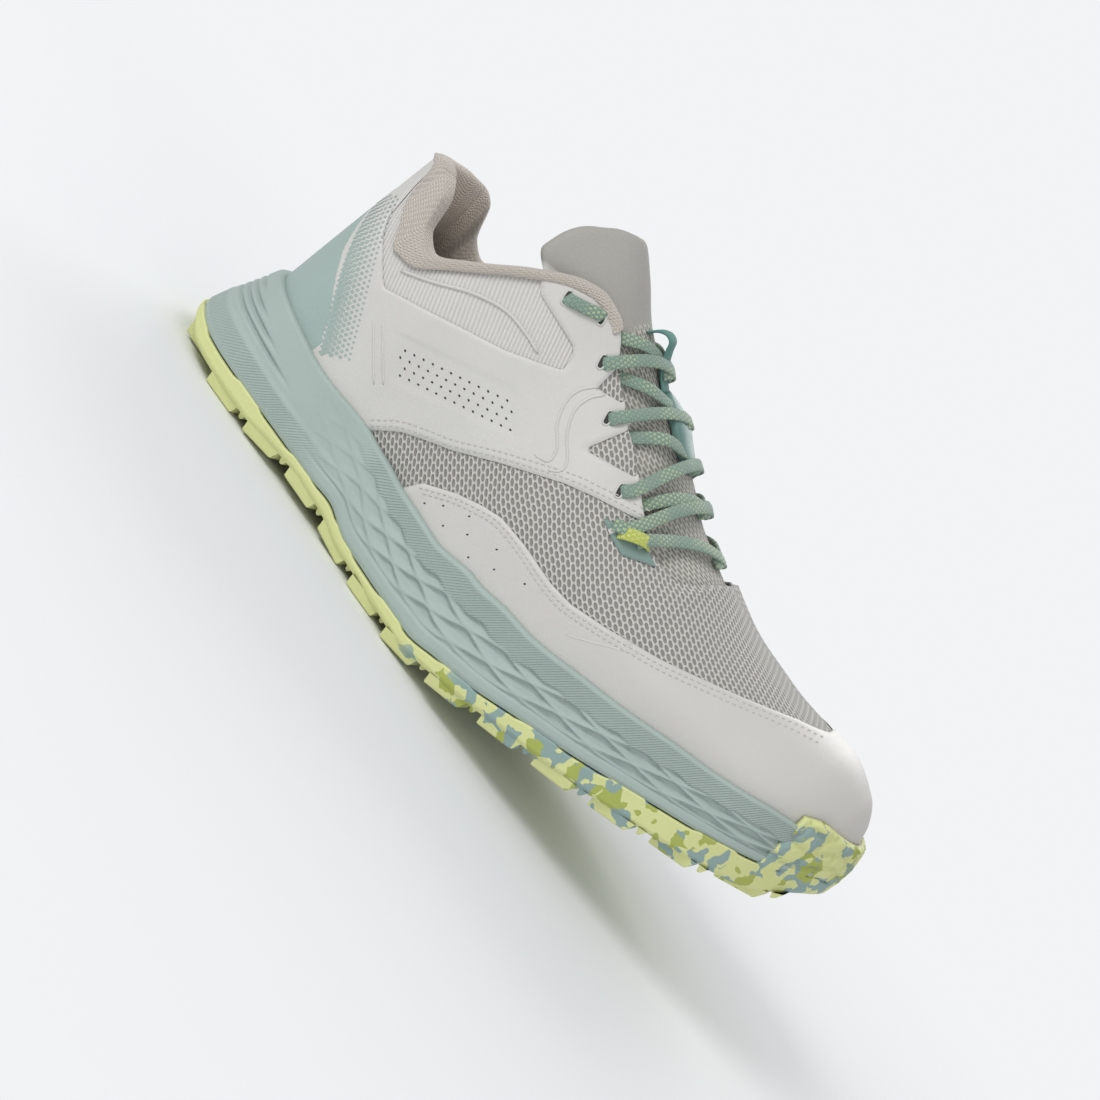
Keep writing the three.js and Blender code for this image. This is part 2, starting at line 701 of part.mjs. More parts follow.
// Everything that stands clear of the sole's rim.
function overSole() {
  const shares = [];
  for (let k = 0; k <= 20; k += 1) shares.push(k / 20);
  const rim = shares.map((share) => [share, wallTop(share) + 1.2]);
  return sideCut([[-0.2, wallTop(0) + 1.2], ...rim, [1.2, wallTop(1) + 1.2], [1.2, OPEN + 10], [-0.2, OPEN + 10]]);
}

// The rolled knit of the collar lies outside the film's edge.
function collarRoom() {
  const sections = [];
  const shares = stations(0, 0.36);
  const ways = [...shares.slice(1).reverse().map((s) => wayOf(s)), ...shares.map((s) => -wayOf(s))];
  for (const way of ways) {
    const share = shareOf(Math.abs(way));
    const low = -lapAt(share) - 0.5;
    const outline = [[-1, low], [5, low], [5, 12], [-1, 12]];
    sections.push(outline.map(([out, up]) => skin(way, riseBy(way, edgeRise(share, way), up), out)));
  }
  return sweep(sections);
}

// Eyelet slots down each side of the throat: share of the length and height above the ground.
const SLOTS = [[0.2844, 115.3], [0.3242, 119.3], [0.3636, 111.6], [0.418, 102.4], [0.495, 91.9]];

function slots() {
  const boxes = [];
  for (const [share, height] of SLOTS) {
    for (const side of [1, -1]) {
      const way = side * wayOf(share);
      const rise = riseAt(share, height - wallTop(share));
      const centre = skin(way, rise, 0);
      const normal = outward(way, rise);
      const forward = skin(side * wayOf(share + 0.01), rise, 0).sub(centre);
      forward.addScaledVector(normal, -forward.dot(normal)).normalize();
      const up = normal.clone().cross(forward).normalize();
      if (up.z < 0) up.negate();
      const long = forward.clone().multiplyScalar(0.8).addScaledVector(up, -0.6);
      const short = normal.clone().cross(long);
      const box = new THREE.BoxGeometry(SLOT.length, SLOT.width, 6.5);
      box.applyMatrix4(new THREE.Matrix4().makeBasis(long, short, normal).setPosition(centre));
      boxes.push(solidOf(trianglesOf(box)));
    }
  }
  return boxes.reduce((all, box) => all.add(box));
}

const quarter = () => film(QUARTER).subtract(collarRoom()).subtract(slots());
const toeGuard = () => film(GUARD);

// One of the two patches, on the side asked for.
function patch(side) {
  return film(PATCH).decompose().find((body) => Math.sign(body.boundingBox().min[1] + body.boundingBox().max[1]) === -side);
}

// The largest body of a joined solid, without the slivers shut in between its parts.
const largest = (solid) => solid.decompose().sort((a, b) => b.volume() - a.volume())[0];

// A flat ribbon through places on the surface; out is where its underside lies.
function ribbon(places, width, thickness) {
  const centres = places.map(({ way, rise, out }) => skin(way, rise, out));
  const sections = places.map(({ way, rise }, k) => {
    const normal = outward(way, rise);
    const ahead = centres[Math.min(k + 1, centres.length - 1)];
    const behind = centres[Math.max(k - 1, 0)];
    const across = normal.clone().cross(ahead.clone().sub(behind)).normalize();
    const corner = (a, b) => centres[k].clone().addScaledVector(across, a * width / 2).addScaledVector(normal, b);
    return [corner(1, 0), corner(1, thickness), corner(-1, thickness), corner(-1, 0)];
  });
  return sweep(sections);
}

// Where the laces cross on the tongue, and where their arms come in from the edge of the throat.
const LACES = [
  [0.405, 0.355, 0.372],
  [0.465, 0.390, 0.430],
  [0.511, 0.451, 0.500],
  [0.562, 0.523, 0.549],
  [0.632, 0.576],
];

// One crossing of the laces: each of its runs goes from one edge of the throat over the ridge to
// the other, the second a little above the first.
function laceCrossing([crossing, ...starts]) {
  const runs = starts.map((start, level) => {
    const foot = riseBy(wayOf(start), edgeRise(start), 1.6);
    const places = [];
    for (let k = -4; k <= 4; k += 1) {
      const part = 1 - Math.abs(k) / 4;
      const side = k < 0 ? 1 : -1;
      places.push({ way: side * wayOf(mix(start, crossing, part)), rise: mix(foot, 1, part), out: level * 0.5 - 3.3 });
    }
    return ribbon(places, LACE_WIDTH, LACE);
  });
  return largest(runs.reduce((all, run) => all.add(run)));
}

// The short run of lace outside the film between the two upper slots.
function laceBar(side) {
  const places = [];
  for (let k = 0; k <= 4; k += 1) {
    const share = mix(0.2915, 0.3175, k / 4);
    const height = mix(115.9, 118.6, k / 4);
    places.push({ way: side * wayOf(share), rise: riseAt(share, height - wallTop(share)), out: 2 * GAP + FILM });
  }
  return ribbon(places, LACE_WIDTH - 0.6, LACE);
}

// The loop of webbing on the patch, that holds the lowest lace.
function laceLoop(side) {
  const places = [];
  for (let k = 0; k <= 4; k += 1) {
    const share = mix(0.543, 0.566, k / 4);
    const height = mix(85.6, 87.8, k / 4);
    places.push({ way: side * wayOf(share), rise: riseAt(share, height - wallTop(share)), out: 2 * GAP + FILM });
  }
  return ribbon(places, 3.4, 0.8);
}

// A place on the ridge of the tongue, or a distance to the side of it.
function nearRidge(share, aside, out) {
  const way = (aside > 0 ? -1 : 1) * wayOf(share);
  return { way, rise: riseBy(way, 1, -Math.abs(aside)), out };
}

// The loop of tape on the tongue that the uppermost lace runs through.
function tongueLoop() {
  const course = [[0.366, -3.3], [0.379, -1.3], [0.395, -1.2], [0.412, -1.3], [0.426, -3.3]];
  return ribbon(course.map(([share, out]) => nearRidge(share, 0, out)), 6, 0.9);
}

// The kidney-shaped keeper that lies on the laces.
function keeper() {
  const cells = [];
  const around = 14;
  const rings = [0, 0.6, 1];
  const corner = (ring, step) => {
    const angle = 2 * Math.PI * step / around;
    const aside = 9.5 * ring * Math.sin(angle);
    const share = 0.468 + (12 * ring * Math.cos(angle) + 0.022 * aside * aside) / LENGTH;
    const place = nearRidge(share, aside - 4, 0);
    const top = 1 - 0.9 * ring * ring * ring;
    return { outer: skin(place.way, place.rise, top), inner: skin(place.way, place.rise, -0.9) };
  };
  for (let r = 0; r + 1 < rings.length; r += 1) {
    for (let k = 0; k < around; k += 1) {
      cells.push([
        corner(rings[r], k),
        corner(rings[r + 1], k),
        corner(rings[r + 1], (k + 1) % around),
        corner(rings[r], (k + 1) % around),
      ]);
    }
  }
  return thickSheet(cells);
}

function meshOf(name, solid) {
  const mesh = solid.getMesh();
  const geometry = new THREE.BufferGeometry();
  geometry.setAttribute('position', new THREE.BufferAttribute(new Float32Array(mesh.vertProperties), 3));
  geometry.setIndex(new THREE.BufferAttribute(new Uint32Array(mesh.triVerts), 1));
  const node = new THREE.Mesh(geometry, new THREE.MeshStandardMaterial());
  node.name = name;
  return node;
}

const shoe = new THREE.Group();
shoe.add(meshOf('midsole', midsole()));
shoe.add(meshOf('outsole', outsole()));
shoe.add(meshOf('insole', insole()));
shoe.add(meshOf('upper', upper().subtract(slots())));
shoe.add(meshOf('tongue', tongue()));
shoe.add(meshOf('collar', collar()));
shoe.add(meshOf('quarter_film', quarter()));
shoe.add(meshOf('toe_guard', toeGuard()));
shoe.add(meshOf('throat_patch_outer', patch(1)));
shoe.add(meshOf('throat_patch_inner', patch(-1)));
shoe.add(meshOf('lace_loop_outer', laceLoop(1)));
shoe.add(meshOf('lace_loop_inner', laceLoop(-1)));
shoe.add(meshOf('lace_bar_outer', laceBar(1)));
shoe.add(meshOf('lace_bar_inner', laceBar(-1)));
LACES.forEach((row, k) => shoe.add(meshOf(`lace_crossing_${k + 1}`, laceCrossing(row))));
shoe.add(meshOf('lace_keeper', keeper()));
shoe.add(meshOf('tongue_loop', tongueLoop()));

export default shoe;
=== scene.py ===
import math
import bpy
import numpy as np
from mathutils import Matrix, Vector


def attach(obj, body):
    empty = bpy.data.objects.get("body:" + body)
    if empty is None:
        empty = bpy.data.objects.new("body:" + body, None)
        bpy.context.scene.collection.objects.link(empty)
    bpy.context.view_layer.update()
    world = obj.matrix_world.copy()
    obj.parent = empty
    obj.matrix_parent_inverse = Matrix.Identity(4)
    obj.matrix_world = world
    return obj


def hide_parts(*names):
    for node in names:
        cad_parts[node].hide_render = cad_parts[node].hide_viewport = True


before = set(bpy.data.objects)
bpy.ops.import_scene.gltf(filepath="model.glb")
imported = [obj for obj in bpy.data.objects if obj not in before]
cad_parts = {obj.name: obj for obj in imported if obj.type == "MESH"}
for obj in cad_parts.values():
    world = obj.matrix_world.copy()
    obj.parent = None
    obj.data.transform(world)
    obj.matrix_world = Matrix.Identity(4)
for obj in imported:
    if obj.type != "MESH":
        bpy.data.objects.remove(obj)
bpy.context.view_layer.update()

# Sizes of the shoe in millimetres, as in the solids.
LENGTH = 295.0
HALF_BALL = 52.5
HEEL_STACK = 30.0
TOE_SPRING = 45.0
INSTEP = 83.0
COLLAR_HEIGHT = 70.0
HEEL_REST = 32.0
FOOT_GAP = 0.5
WALL = 2.0
RIM = 2.0
CUP = 6.0
LUG = 3.4
BUMPER_TOP = 80.5
INNER_RISE = 3.0
LAST_EDGE = 0.60
THROAT_END = 0.65
FILM = 0.9
HEEL_ROUND = 2.1
TOE_ROUND = 2.15
LACE_WIDTH = 4.6
LACE = 1.25
LUG_PITCH = 0.07288
# How far the wings of the tongue's free end lie back, as a share of the length, and down.
WINGS_BACK = 0.042
WINGS_DOWN = 5.0
# How far the front end of the throat sinks towards the tongue.
THROAT_DIP = 1.5
# Step of the way round the shoe over which slopes are taken.
STEP = 0.004
RESTS = (HEEL_REST / LENGTH, 0.4225)


class Row:
    """The columns of a table at some places, each worked out when it is asked for."""

    def __init__(self, fine, columns, places):
        self.fine, self.columns, self.places = fine, columns, np.asarray(places, float)

    def __getitem__(self, name):
        return np.interp(self.places, self.fine, self.columns[name])


def table(columns, rows):
    """Rows of numbers as a smooth function of the first column that gives the others by name."""
    r = np.array(rows)
    x = r[:, 0]
    rise = np.diff(r[:, 1:], axis=0) / np.diff(x)[:, None]
    slopes = np.zeros_like(r[:, 1:])
    a, b = rise[:-1], rise[1:]
    same = a * b > 0
    slopes[1:-1][same] = (2 * a * b / np.where(a + b == 0, 1, a + b))[same]

    fine = np.linspace(0, 1, 2001)
    i = np.clip(np.searchsorted(x, fine, side="right") - 1, 0, len(x) - 2)
    w = x[i + 1] - x[i]
    t = np.clip((fine - x[i]) / w, 0, 1)
    columns_at = {}
    for c, name in enumerate(columns[1:]):
        p, q = r[i, c + 1], r[i + 1, c + 1]
        m, n = slopes[i, c], slopes[i + 1, c]
        columns_at[name] = ((2 * t**3 - 3 * t**2 + 1) * p + (3 * t**2 - 2 * t**3) * q
                            + w * ((t**3 - 2 * t**2 + t) * m + (t**3 - t**2) * n))

    def at(v):
        return Row(fine, columns_at, v)
    return at


SOLE = table(["at", "half", "middle", "ground", "wall", "rubber", "lean"], [
    [0.00, 0.70, 0.00, 0.060, 1.16, 0.24, 10.0],
    [0.06, 0.74, 0.00, 0.000, 1.28, 0.31, 8.0],
    [0.16, 0.75, -0.01, 0.000, 1.17, 0.32, 5.5],
    [0.21, 0.74, -0.03, 0.045, 1.10, 0.26, 4.5],
    [0.265, 0.71, -0.05, 0.070, 1.09, 0.22, 4.5],
    [0.31, 0.71, -0.06, 0.060, 1.07, 0.27, 4.5],
    [0.36, 0.73, -0.05, 0.000, 1.11, 0.23, 4.5],
    [0.42, 0.80, -0.04, 0.000, 1.11, 0.24, 4.5],
    [0.485, 0.89, -0.02, 0.000, 1.25, 0.27, 5.0],
    [0.53, 0.94, -0.01, 0.070, 1.24, 0.29, 5.0],
    [0.58, 0.98, 0.00, 0.160, 1.18, 0.30, 5.0],
    [0.63, 1.00, 0.01, 0.270, 1.16, 0.33, 5.0],
    [0.69, 1.00, 0.02, 0.385, 1.16, 0.37, 5.0],
    [0.76, 0.97, 0.04, 0.530, 1.17, 0.42, 5.0],
    [0.82, 0.93, 0.06, 0.670, 1.14, 0.45, 4.5],
    [0.88, 0.90, 0.09, 0.810, 1.14, 0.47, 4.0],
    [0.94, 0.86, 0.12, 0.960, 1.06, 0.50, 4.0],
    [1.00, 0.80, 0.15, 1.230, 0.66, 0.36, 4.0],
])
FORM = table(["at", "ridge", "inward", "round", "bulge"], [
    [0.00, 1.42, 0.00, 2.0, 0.5],
    [0.12, 1.42, 0.02, 2.1, 1.0],
    [0.20, 1.41, 0.05, 2.2, 1.5],
    [0.265, 1.345, 0.08, 2.25, 1.5],
    [0.30, 1.295, 0.10, 2.25, 1.5],
    [0.34, 1.225, 0.12, 2.2, 1.5],
    [0.41, 1.10, 0.14, 2.15, 1.5],
    [0.47, 0.985, 0.14, 2.1, 2.0],
    [0.525, 0.865, 0.14, 2.1, 2.0],
    [0.585, 0.74, 0.14, 2.05, 2.0],
    [0.645, 0.622, 0.13, 2.05, 2.0],
    [0.715, 0.49, 0.12, 2.05, 2.0],
    [0.79, 0.393, 0.10, 2.1, 1.5],
    [0.86, 0.33, 0.06, 2.1, 1.0],
    [0.91, 0.285, 0.03, 2.1, 0.5],
    [0.96, 0.20, 0.00, 2.1, 0.0],
    [0.985, 0.12, 0.00, 2.1, 0.0],
    [1.00, 0.05, 0.00, 2.0, 0.0],
])
EDGE = table(["at", "height"], [
    [0.00, 0.97],
    [0.03, 0.985],
    [0.06, 0.975],
    [0.095, 0.92],
    [0.125, 0.76],
    [0.146, 0.73],
    [0.18, 0.85],
    [0.21, 0.97],
    [0.24, 1.085],
    [0.28, 1.235],
    [0.31, 1.285],
    [0.335, 1.28],
    [0.352, 1.245],
    [0.378, 1.155],
    [0.411, 1.085],
    [0.44, 1.005],
    [0.49, 0.875],
    [0.536, 0.74],
    [0.60, 0.63],
])
# How far the knit of the collar laps down on the outside.
LAP = table(["at", "down"], [
    [0.00, 1.5],
    [0.025, 2.5],
    [0.05, 10.0],
    [0.07, 16.0],
    [0.10, 17.0],
    [0.131, 9.5],
    [0.156, 5.8],
    [0.20, 4.0],
    [0.345, 3.2],
])


def ease(low, high, v):
    t = np.clip((v - low) / (high - low), 0, 1)
    return t * t * (3 - 2 * t)


def mix(a, b, t):
    return a + (b - a) * t


def along(share):
    return share * LENGTH - HEEL_REST


def share_at(x):
    return (x + HEEL_REST) / LENGTH


def share_of(way):
    return (1 - np.cos(np.pi * np.abs(way))) / 2


def way_of(share):
    return np.arccos(1 - 2 * np.clip(share, 0, 1)) / np.pi


def wrap(way):
    return np.where(way > 1, way - 2, np.where(way < -1, way + 2, way))


def outline(way):
    """The sole's widest outline from above, and how far it has rounded off at heel and toe.

    way is 0 at the heel, 1 at the toe by the outer side and -1 at the toe by the inner side.
    """
    share = share_of(way)
    row = SOLE(share)
    heel = np.clip(share * LENGTH / (0.68 * HALF_BALL), 0, 1)
    toe = np.clip((1 - share) * LENGTH / (1.02 * HALF_BALL), 0, 1)
    heel_part = np.maximum(0, 1 - (1 - heel)**HEEL_ROUND)**(1 / HEEL_ROUND)
    toe_part = np.maximum(0, 1 - (1 - toe)**TOE_ROUND)**(1 / TOE_ROUND)
    round_off = heel_part * toe_part
    side = np.where(way >= 0, -1, 1)
    return along(share), HALF_BALL * (row["middle"] + side * row["half"] * round_off), round_off


def outline_in(way, distance):
    way = np.asarray(way, float)
    ax, ay, _ = outline(wrap(way - STEP))
    bx, by, _ = outline(wrap(way + STEP))
    px, py, _ = outline(way)
    size = np.hypot(bx - ax, by - ay)
    return px - (by - ay) / size * distance, py + (bx - ax) / size * distance


def ground(share):
    return SOLE(share)["ground"] * TOE_SPRING


def rubber_top(share):
    return ground(share) + SOLE(share)["rubber"] * HEEL_STACK


def wall_top(share):
    return ground(share) + SOLE(share)["wall"] * HEEL_STACK


def form_point(way, rise):
    """A point of the upper: rise is 0 at its lower edge and 1 at the ridge."""
    way, rise = np.broadcast_arrays(np.asarray(way, float), np.asarray(rise, float))
    share = share_of(way)
    sole, form = SOLE(share), FORM(share)
    inset = sole["lean"] + RIM + FOOT_GAP
    bx, by = outline_in(way, inset)
    ox, _ = outline_in(-way, inset)
    ridge_x = (bx + ox) / 2
    middle = HALF_BALL * (sole["middle"] + form["inward"])
    low = wall_top(share_at(bx)) - CUP + FOOT_GAP
    high = wall_top(share_at(ridge_x)) + form["ridge"] * INSTEP - low
    angle = np.clip(rise, 0, 1) * np.pi / 2
    power = 2 / form["round"]
    across = np.maximum(np.cos(angle), 0)**power
    swell = form["bulge"] * ease(0.05, 0.25, rise) * (1 - ease(0.45, 1, rise)) * outline(way)[2]
    side = np.where(way >= 0, -1, 1)
    return np.stack([mix(ridge_x, bx, across), middle + (by - middle) * across + side * swell,
                     low + high * np.sin(angle)**power], -1)


def outward(way, rise):
    way, rise = np.broadcast_arrays(np.asarray(way, float), np.asarray(rise, float))

    def plain(w, r):
        p = form_point(w, r)
        a = form_point(wrap(w + STEP), r) - form_point(wrap(w - STEP), r)
        b = form_point(w, np.minimum(0.9999, r + STEP)) - form_point(w, np.maximum(0.001, r - STEP))
        n = np.cross(a, b)
        share = share_of(w)
        heart = np.stack([np.clip(p[..., 0], along(0.12), along(0.86)), HALF_BALL * SOLE(share)["middle"],
                          wall_top(share) * 0.8 + p[..., 2] * 0.2], -1)
        n *= np.where((n * (p - heart)).sum(-1) < 0, -1, 1)[..., None]
        return n / np.linalg.norm(n, axis=-1, keepdims=True)
    n = plain(way, np.minimum(rise, 0.999))
    top = rise > 0.97
    if top.any():
        other = plain(-way, np.minimum(rise, 0.999))
        share = (ease(0.97, 1, rise) * 0.5)[..., None]
        n = np.where(top[..., None], mix(n, other, share), n)
    return n / np.linalg.norm(n, axis=-1, keepdims=True)


def skin(way, rise, out):
    return form_point(way, rise) + outward(way, rise) * np.asarray(out, float)[..., None]


def rise_at(share, height):
    """Rise at which the upper reaches a height above the wall of the sole."""
    form = FORM(share)
    span = CUP - FOOT_GAP
    part = np.clip((height + span) / (form["ridge"] * INSTEP + span), 0, 1)
    return np.arcsin(part**(form["round"] / 2)) * 2 / np.pi


def edge_rise(way):
    """Rise of the edge of the collar and throat."""
    share = share_of(way)
    more = np.where(way < 0, INNER_RISE * ease(0.03, 0.1, share) * (1 - ease(0.2, 0.3, share)), 0)
    s = np.minimum(share, LAST_EDGE)
    opened = rise_at(s, EDGE(s)["height"] * COLLAR_HEIGHT + more)
    t = np.clip((share - LAST_EDGE) / (THROAT_END - LAST_EDGE), 0, 1)
    return mix(opened, 1, 1 - np.sqrt(1 - t * t))


def rise_by(way, rise, distance):
    """Rise that lies a distance up along the surface."""
    lo, hi = np.maximum(0, rise - 0.01), np.minimum(1, rise + 0.01)
    gap = np.linalg.norm(form_point(way, hi) - form_point(way, lo), axis=-1)
    return np.clip(rise + distance * (hi - lo) / gap, 0, 1)


def locate(points, side=1):
    """Way and rise of places given from the side, as distance from the back of the heel and height."""
    x, z = np.array(points, float).T
    share, rise = x / LENGTH, rise_at(x / LENGTH, z - wall_top(x / LENGTH))
    rise = np.clip(rise, 0.02, 0.97)
    for _ in range(8):
        way = side * way_of(share)
        base = form_point(way, rise)
        p = base + outward(way, rise) * 0.8
        a = (form_point(side * way_of(share + 1e-3), rise) - base) * 1e3
        b = (form_point(way, rise + 1e-3) - base) * 1e3
        ex, ez = x - HEEL_REST - p[:, 0], z - p[:, 2]
        det = a[:, 0] * b[:, 2] - a[:, 2] * b[:, 0]
        det = np.where(np.abs(det) < 1, 1, det)
        share = np.clip(share + 0.9 * (ex * b[:, 2] - ez * b[:, 0]) / det, 0.001, 0.995)
        rise = np.clip(rise + 0.9 * (a[:, 0] * ez - a[:, 2] * ex) / det, 0.01, 0.998)
    return side * way_of(share), rise


# Arc lengths over the upper, for patterns that keep their size.
GRID_W = np.linspace(-1, 1, 321)
GRID_R = np.linspace(0, 1, 81)
_P = form_point(GRID_W[:, None], GRID_R[None])
ARC_UP = np.concatenate([np.zeros((321, 1)), np.cumsum(np.linalg.norm(np.diff(_P, axis=1), axis=-1), 1)], 1)
_q = _P[:, 20]
ARC_ALONG = np.concatenate([[0], np.cumsum(np.linalg.norm(np.diff(_q, axis=0), axis=-1))])
ARC_ALONG = ARC_ALONG - ARC_ALONG[160]


def flat(way, rise):
    """Pattern coordinates in millimetres: round the shoe and up its side."""
    way, rise = np.broadcast_arrays(np.asarray(way, float), np.asarray(rise, float))
    i = np.clip((way + 1) * 160, 0, 319.999)
    j = np.clip(rise * 80, 0, 79.999)
    i0, j0 = i.astype(int), j.astype(int)
    ti, tj = i - i0, j - j0
    low = mix(ARC_UP[i0, j0], ARC_UP[i0 + 1, j0], ti)
    high = mix(ARC_UP[i0, j0 + 1], ARC_UP[i0 + 1, j0 + 1], ti)
    up = mix(low, high, tj)
    return np.stack([np.abs(np.interp(way, GRID_W, ARC_ALONG)), up], -1)


def linear(code):
    """An sRGB colour such as d3d3cf as linear values."""
    parts = [int(code[k:k + 2], 16) / 255 for k in (0, 2, 4)]
    return tuple(c / 12.92 if c < 0.04045 else ((c + 0.055) / 1.055)**2.4 for c in parts) + (1.0,)


class Shader:
    """A material with short ways to add nodes."""

    def __init__(self, name, rough=0.6):
        self.mat = bpy.data.materials.new(name)
        self.mat.use_nodes = True
        self.tree = self.mat.node_tree
        self.bsdf = self.tree.nodes["Principled BSDF"]
        self.bsdf.inputs["Roughness"].default_value = rough
        uv = self.add("ShaderNodeUVMap")
        uv.uv_map = "flat"
        split = self.add("ShaderNodeSeparateXYZ")
        self.join(uv.outputs[0], split.inputs[0])
        self.u, self.v = split.outputs[0], split.outputs[1]
        self.here = self.add("ShaderNodeTexCoord").outputs["Object"]

    def add(self, kind, **settings):
        node = self.tree.nodes.new(kind)
        for key, value in settings.items():
            setattr(node, key, value)
        return node

    def join(self, a, b):
        self.tree.links.new(a, b)

    def math(self, op, a, b=0.0, c=0.0):
        node = self.add("ShaderNodeMath", operation=op)
        for socket, value in zip(node.inputs, (a, b, c)):
            if isinstance(value, (int, float)):
                socket.default_value = value
            else:
                self.join(value, socket)
        return node.outputs[0]

    def ramp(self, value, low, high):
        node = self.add("ShaderNodeMapRange", interpolation_type="SMOOTHSTEP")
        node.inputs["From Min"].default_value = low
        node.inputs["From Max"].default_value = high
        self.join(value, node.inputs["Value"])
        return node.outputs["Result"]

    def blend(self, factor, a, b):
        node = self.add("ShaderNodeMix", data_type="RGBA")
        for socket, value in ((node.inputs[0], factor), (node.inputs[6], a), (node.inputs[7], b)):
            if isinstance(value, (int, float, tuple)):
                socket.default_value = value
            else:
                self.join(value, socket)
        return node.outputs[2]

    def noise(self, scale, detail=3.0):
        node = self.add("ShaderNodeTexNoise")
        node.inputs["Scale"].default_value = scale
        node.inputs["Detail"].default_value = detail
        self.join(self.here, node.inputs["Vector"])
        return node.outputs["Fac"]

    def turned(self, angle):
        """The pattern coordinates turned by an angle, as (along, across)."""
        c, s = math.cos(math.radians(angle)), math.sin(math.radians(angle))
        a = self.math("ADD", self.math("MULTIPLY", self.u, c), self.math("MULTIPLY", self.v, s))
        b = self.math("SUBTRACT", self.math("MULTIPLY", self.v, c), self.math("MULTIPLY", self.u, s))
        return a, b

    def wave(self, value, pitch):
        """A wave from 0 to 1 with that pitch in millimetres."""
        turn = self.math("MULTIPLY", value, 2 * math.pi / pitch)
        return self.math("MULTIPLY_ADD", self.math("SINE", turn), 0.5, 0.5)

    def colour(self, value):
        if isinstance(value, tuple):
            self.bsdf.inputs["Base Color"].default_value = value
        else:
            self.join(value, self.bsdf.inputs["Base Color"])

    def bump(self, height, distance):
        node = self.add("ShaderNodeBump")
        node.inputs["Strength"].default_value = 1.0
        node.inputs["Distance"].default_value = distance
        self.join(height, node.inputs["Height"])
        self.join(node.outputs[0], self.bsdf.inputs["Normal"])

    def set(self, name, value):
        self.bsdf.inputs[name].default_value = value


def cells(shader, pitch_along, pitch_across, angle):
    """0 at the middle of each of a net's staggered holes, growing to its threads."""
    a, b = shader.turned(angle)
    row = shader.math("FLOOR", shader.math("DIVIDE", b, pitch_across))
    odd = shader.math("MULTIPLY", shader.math("MODULO", shader.math("ABSOLUTE", row), 2.0), 0.5)
    fa = shader.math("FRACT", shader.math("ADD", shader.math("DIVIDE", a, pitch_along), odd))
    fb = shader.math("FRACT", shader.math("DIVIDE", b, pitch_across))
    ca = shader.math("MULTIPLY", shader.math("ABSOLUTE", shader.math("SUBTRACT", fa, 0.5)), 2.0)
    cb = shader.math("MULTIPLY", shader.math("ABSOLUTE", shader.math("SUBTRACT", fb, 0.5)), 2.0)
    return shader.math("ADD", shader.math("POWER", ca, 3.0), shader.math("POWER", cb, 1.4))


def film_material():
    s = Shader("film", 0.52)
    tint = s.noise(25, 2)
    s.colour(s.blend(tint, linear("c5c3be"), linear("cecdc8")))
    a, b = s.turned(38)
    grain = s.math("ADD", s.noise(2500, 2), s.math("MULTIPLY", s.wave(a, 1.3), 0.10))
    s.bump(grain, 0.00012)
    s.set("Coat Weight", 0.08)
    s.set("Coat Roughness", 0.4)
    return s.mat


def guard_material():
    s = Shader("guard_film", 0.5)
    s.colour(s.blend(s.noise(18, 2), linear("c2c0bb"), linear("cac8c3")))
    s.bump(s.noise(2200, 2), 0.0001)
    s.set("Coat Weight", 0.1)
    s.set("Coat Roughness", 0.38)
    return s.mat


def upper_material():
    """Open net below, fine ribs above, parted by the value panel of each point."""
    s = Shader("upper_cloth", 0.85)
    panel = s.add("ShaderNodeAttribute", attribute_name="panel").outputs["Fac"]
    net = cells(s, 3.5, 1.5, -37)
    hole = s.math("SUBTRACT", 1.0, s.ramp(net, 0.28, 0.62))
    thread = s.blend(s.noise(900, 2), linear("b9b7b1"), linear("cbc9c3"))
    woven = s.blend(s.math("MULTIPLY", hole, 0.85), thread, linear("77756f"))
    _, across = s.turned(-58)
    rib = s.wave(across, 1.45)
    ribbed = s.blend(s.ramp(rib, 0.05, 0.5), linear("c3c1bc"), linear("d6d4cf"))
    s.colour(s.blend(panel, woven, ribbed))
    net_height = s.math("MULTIPLY", s.ramp(net, 0.15, 0.9), s.math("SUBTRACT", 1.0, panel))
    rib_height = s.math("MULTIPLY", s.math("MULTIPLY", rib, 0.55), panel)
    height = s.math("ADD", s.math("ADD", net_height, rib_height), s.math("MULTIPLY", s.noise(1800, 2), 0.25))
    s.bump(height, 0.0006)
    s.set("Sheen Weight", 0.15)
    return s.mat


def net_material(name, light, dark, angle, pitch=(3.6, 1.6)):
    s = Shader(name, 0.85)
    net = cells(s, pitch[0], pitch[1], angle)
    hole = s.math("SUBTRACT", 1.0, s.ramp(net, 0.28, 0.62))
    s.colour(s.blend(s.math("MULTIPLY", hole, 0.85), linear(light), linear(dark)))
    s.bump(s.math("ADD", s.ramp(net, 0.15, 0.9), s.math("MULTIPLY", s.noise(1800, 2), 0.25)), 0.0005)
    return s.mat


def knit_material():
    """Small loops, paler on the rolled edge and darker inside."""
    s = Shader("collar_knit", 0.9)
    inside = s.add("ShaderNodeAttribute", attribute_name="inside").outputs["Fac"]
    net = cells(s, 1.5, 1.0, 20)
    fleck = s.noise(1400, 3)
    outer = s.blend(fleck, linear("c2b9ae"), linear("d2cac0"))
    inner = s.blend(fleck, linear("c6b7a5"), linear("dbcebd"))
    base = s.blend(inside, outer, inner)
    s.colour(s.blend(s.math("MULTIPLY", s.math("SUBTRACT", 1.0, s.ramp(net, 0.1, 0.6)), 0.35), base,
                     linear("9f9488")))
    s.bump(s.math("ADD", s.ramp(net, 0.1, 1.0), s.math("MULTIPLY", fleck, 0.5)), 0.0004)
    s.set("Sheen Weight", 0.3)
    return s.mat


def smooth_cloth(name, light, dark, rough=0.8, bump=0.00015, scale=1500):
    s = Shader(name, rough)
    n = s.noise(scale, 3)
    s.colour(s.blend(n, linear(dark), linear(light)))
    s.bump(n, bump)
    return s.mat


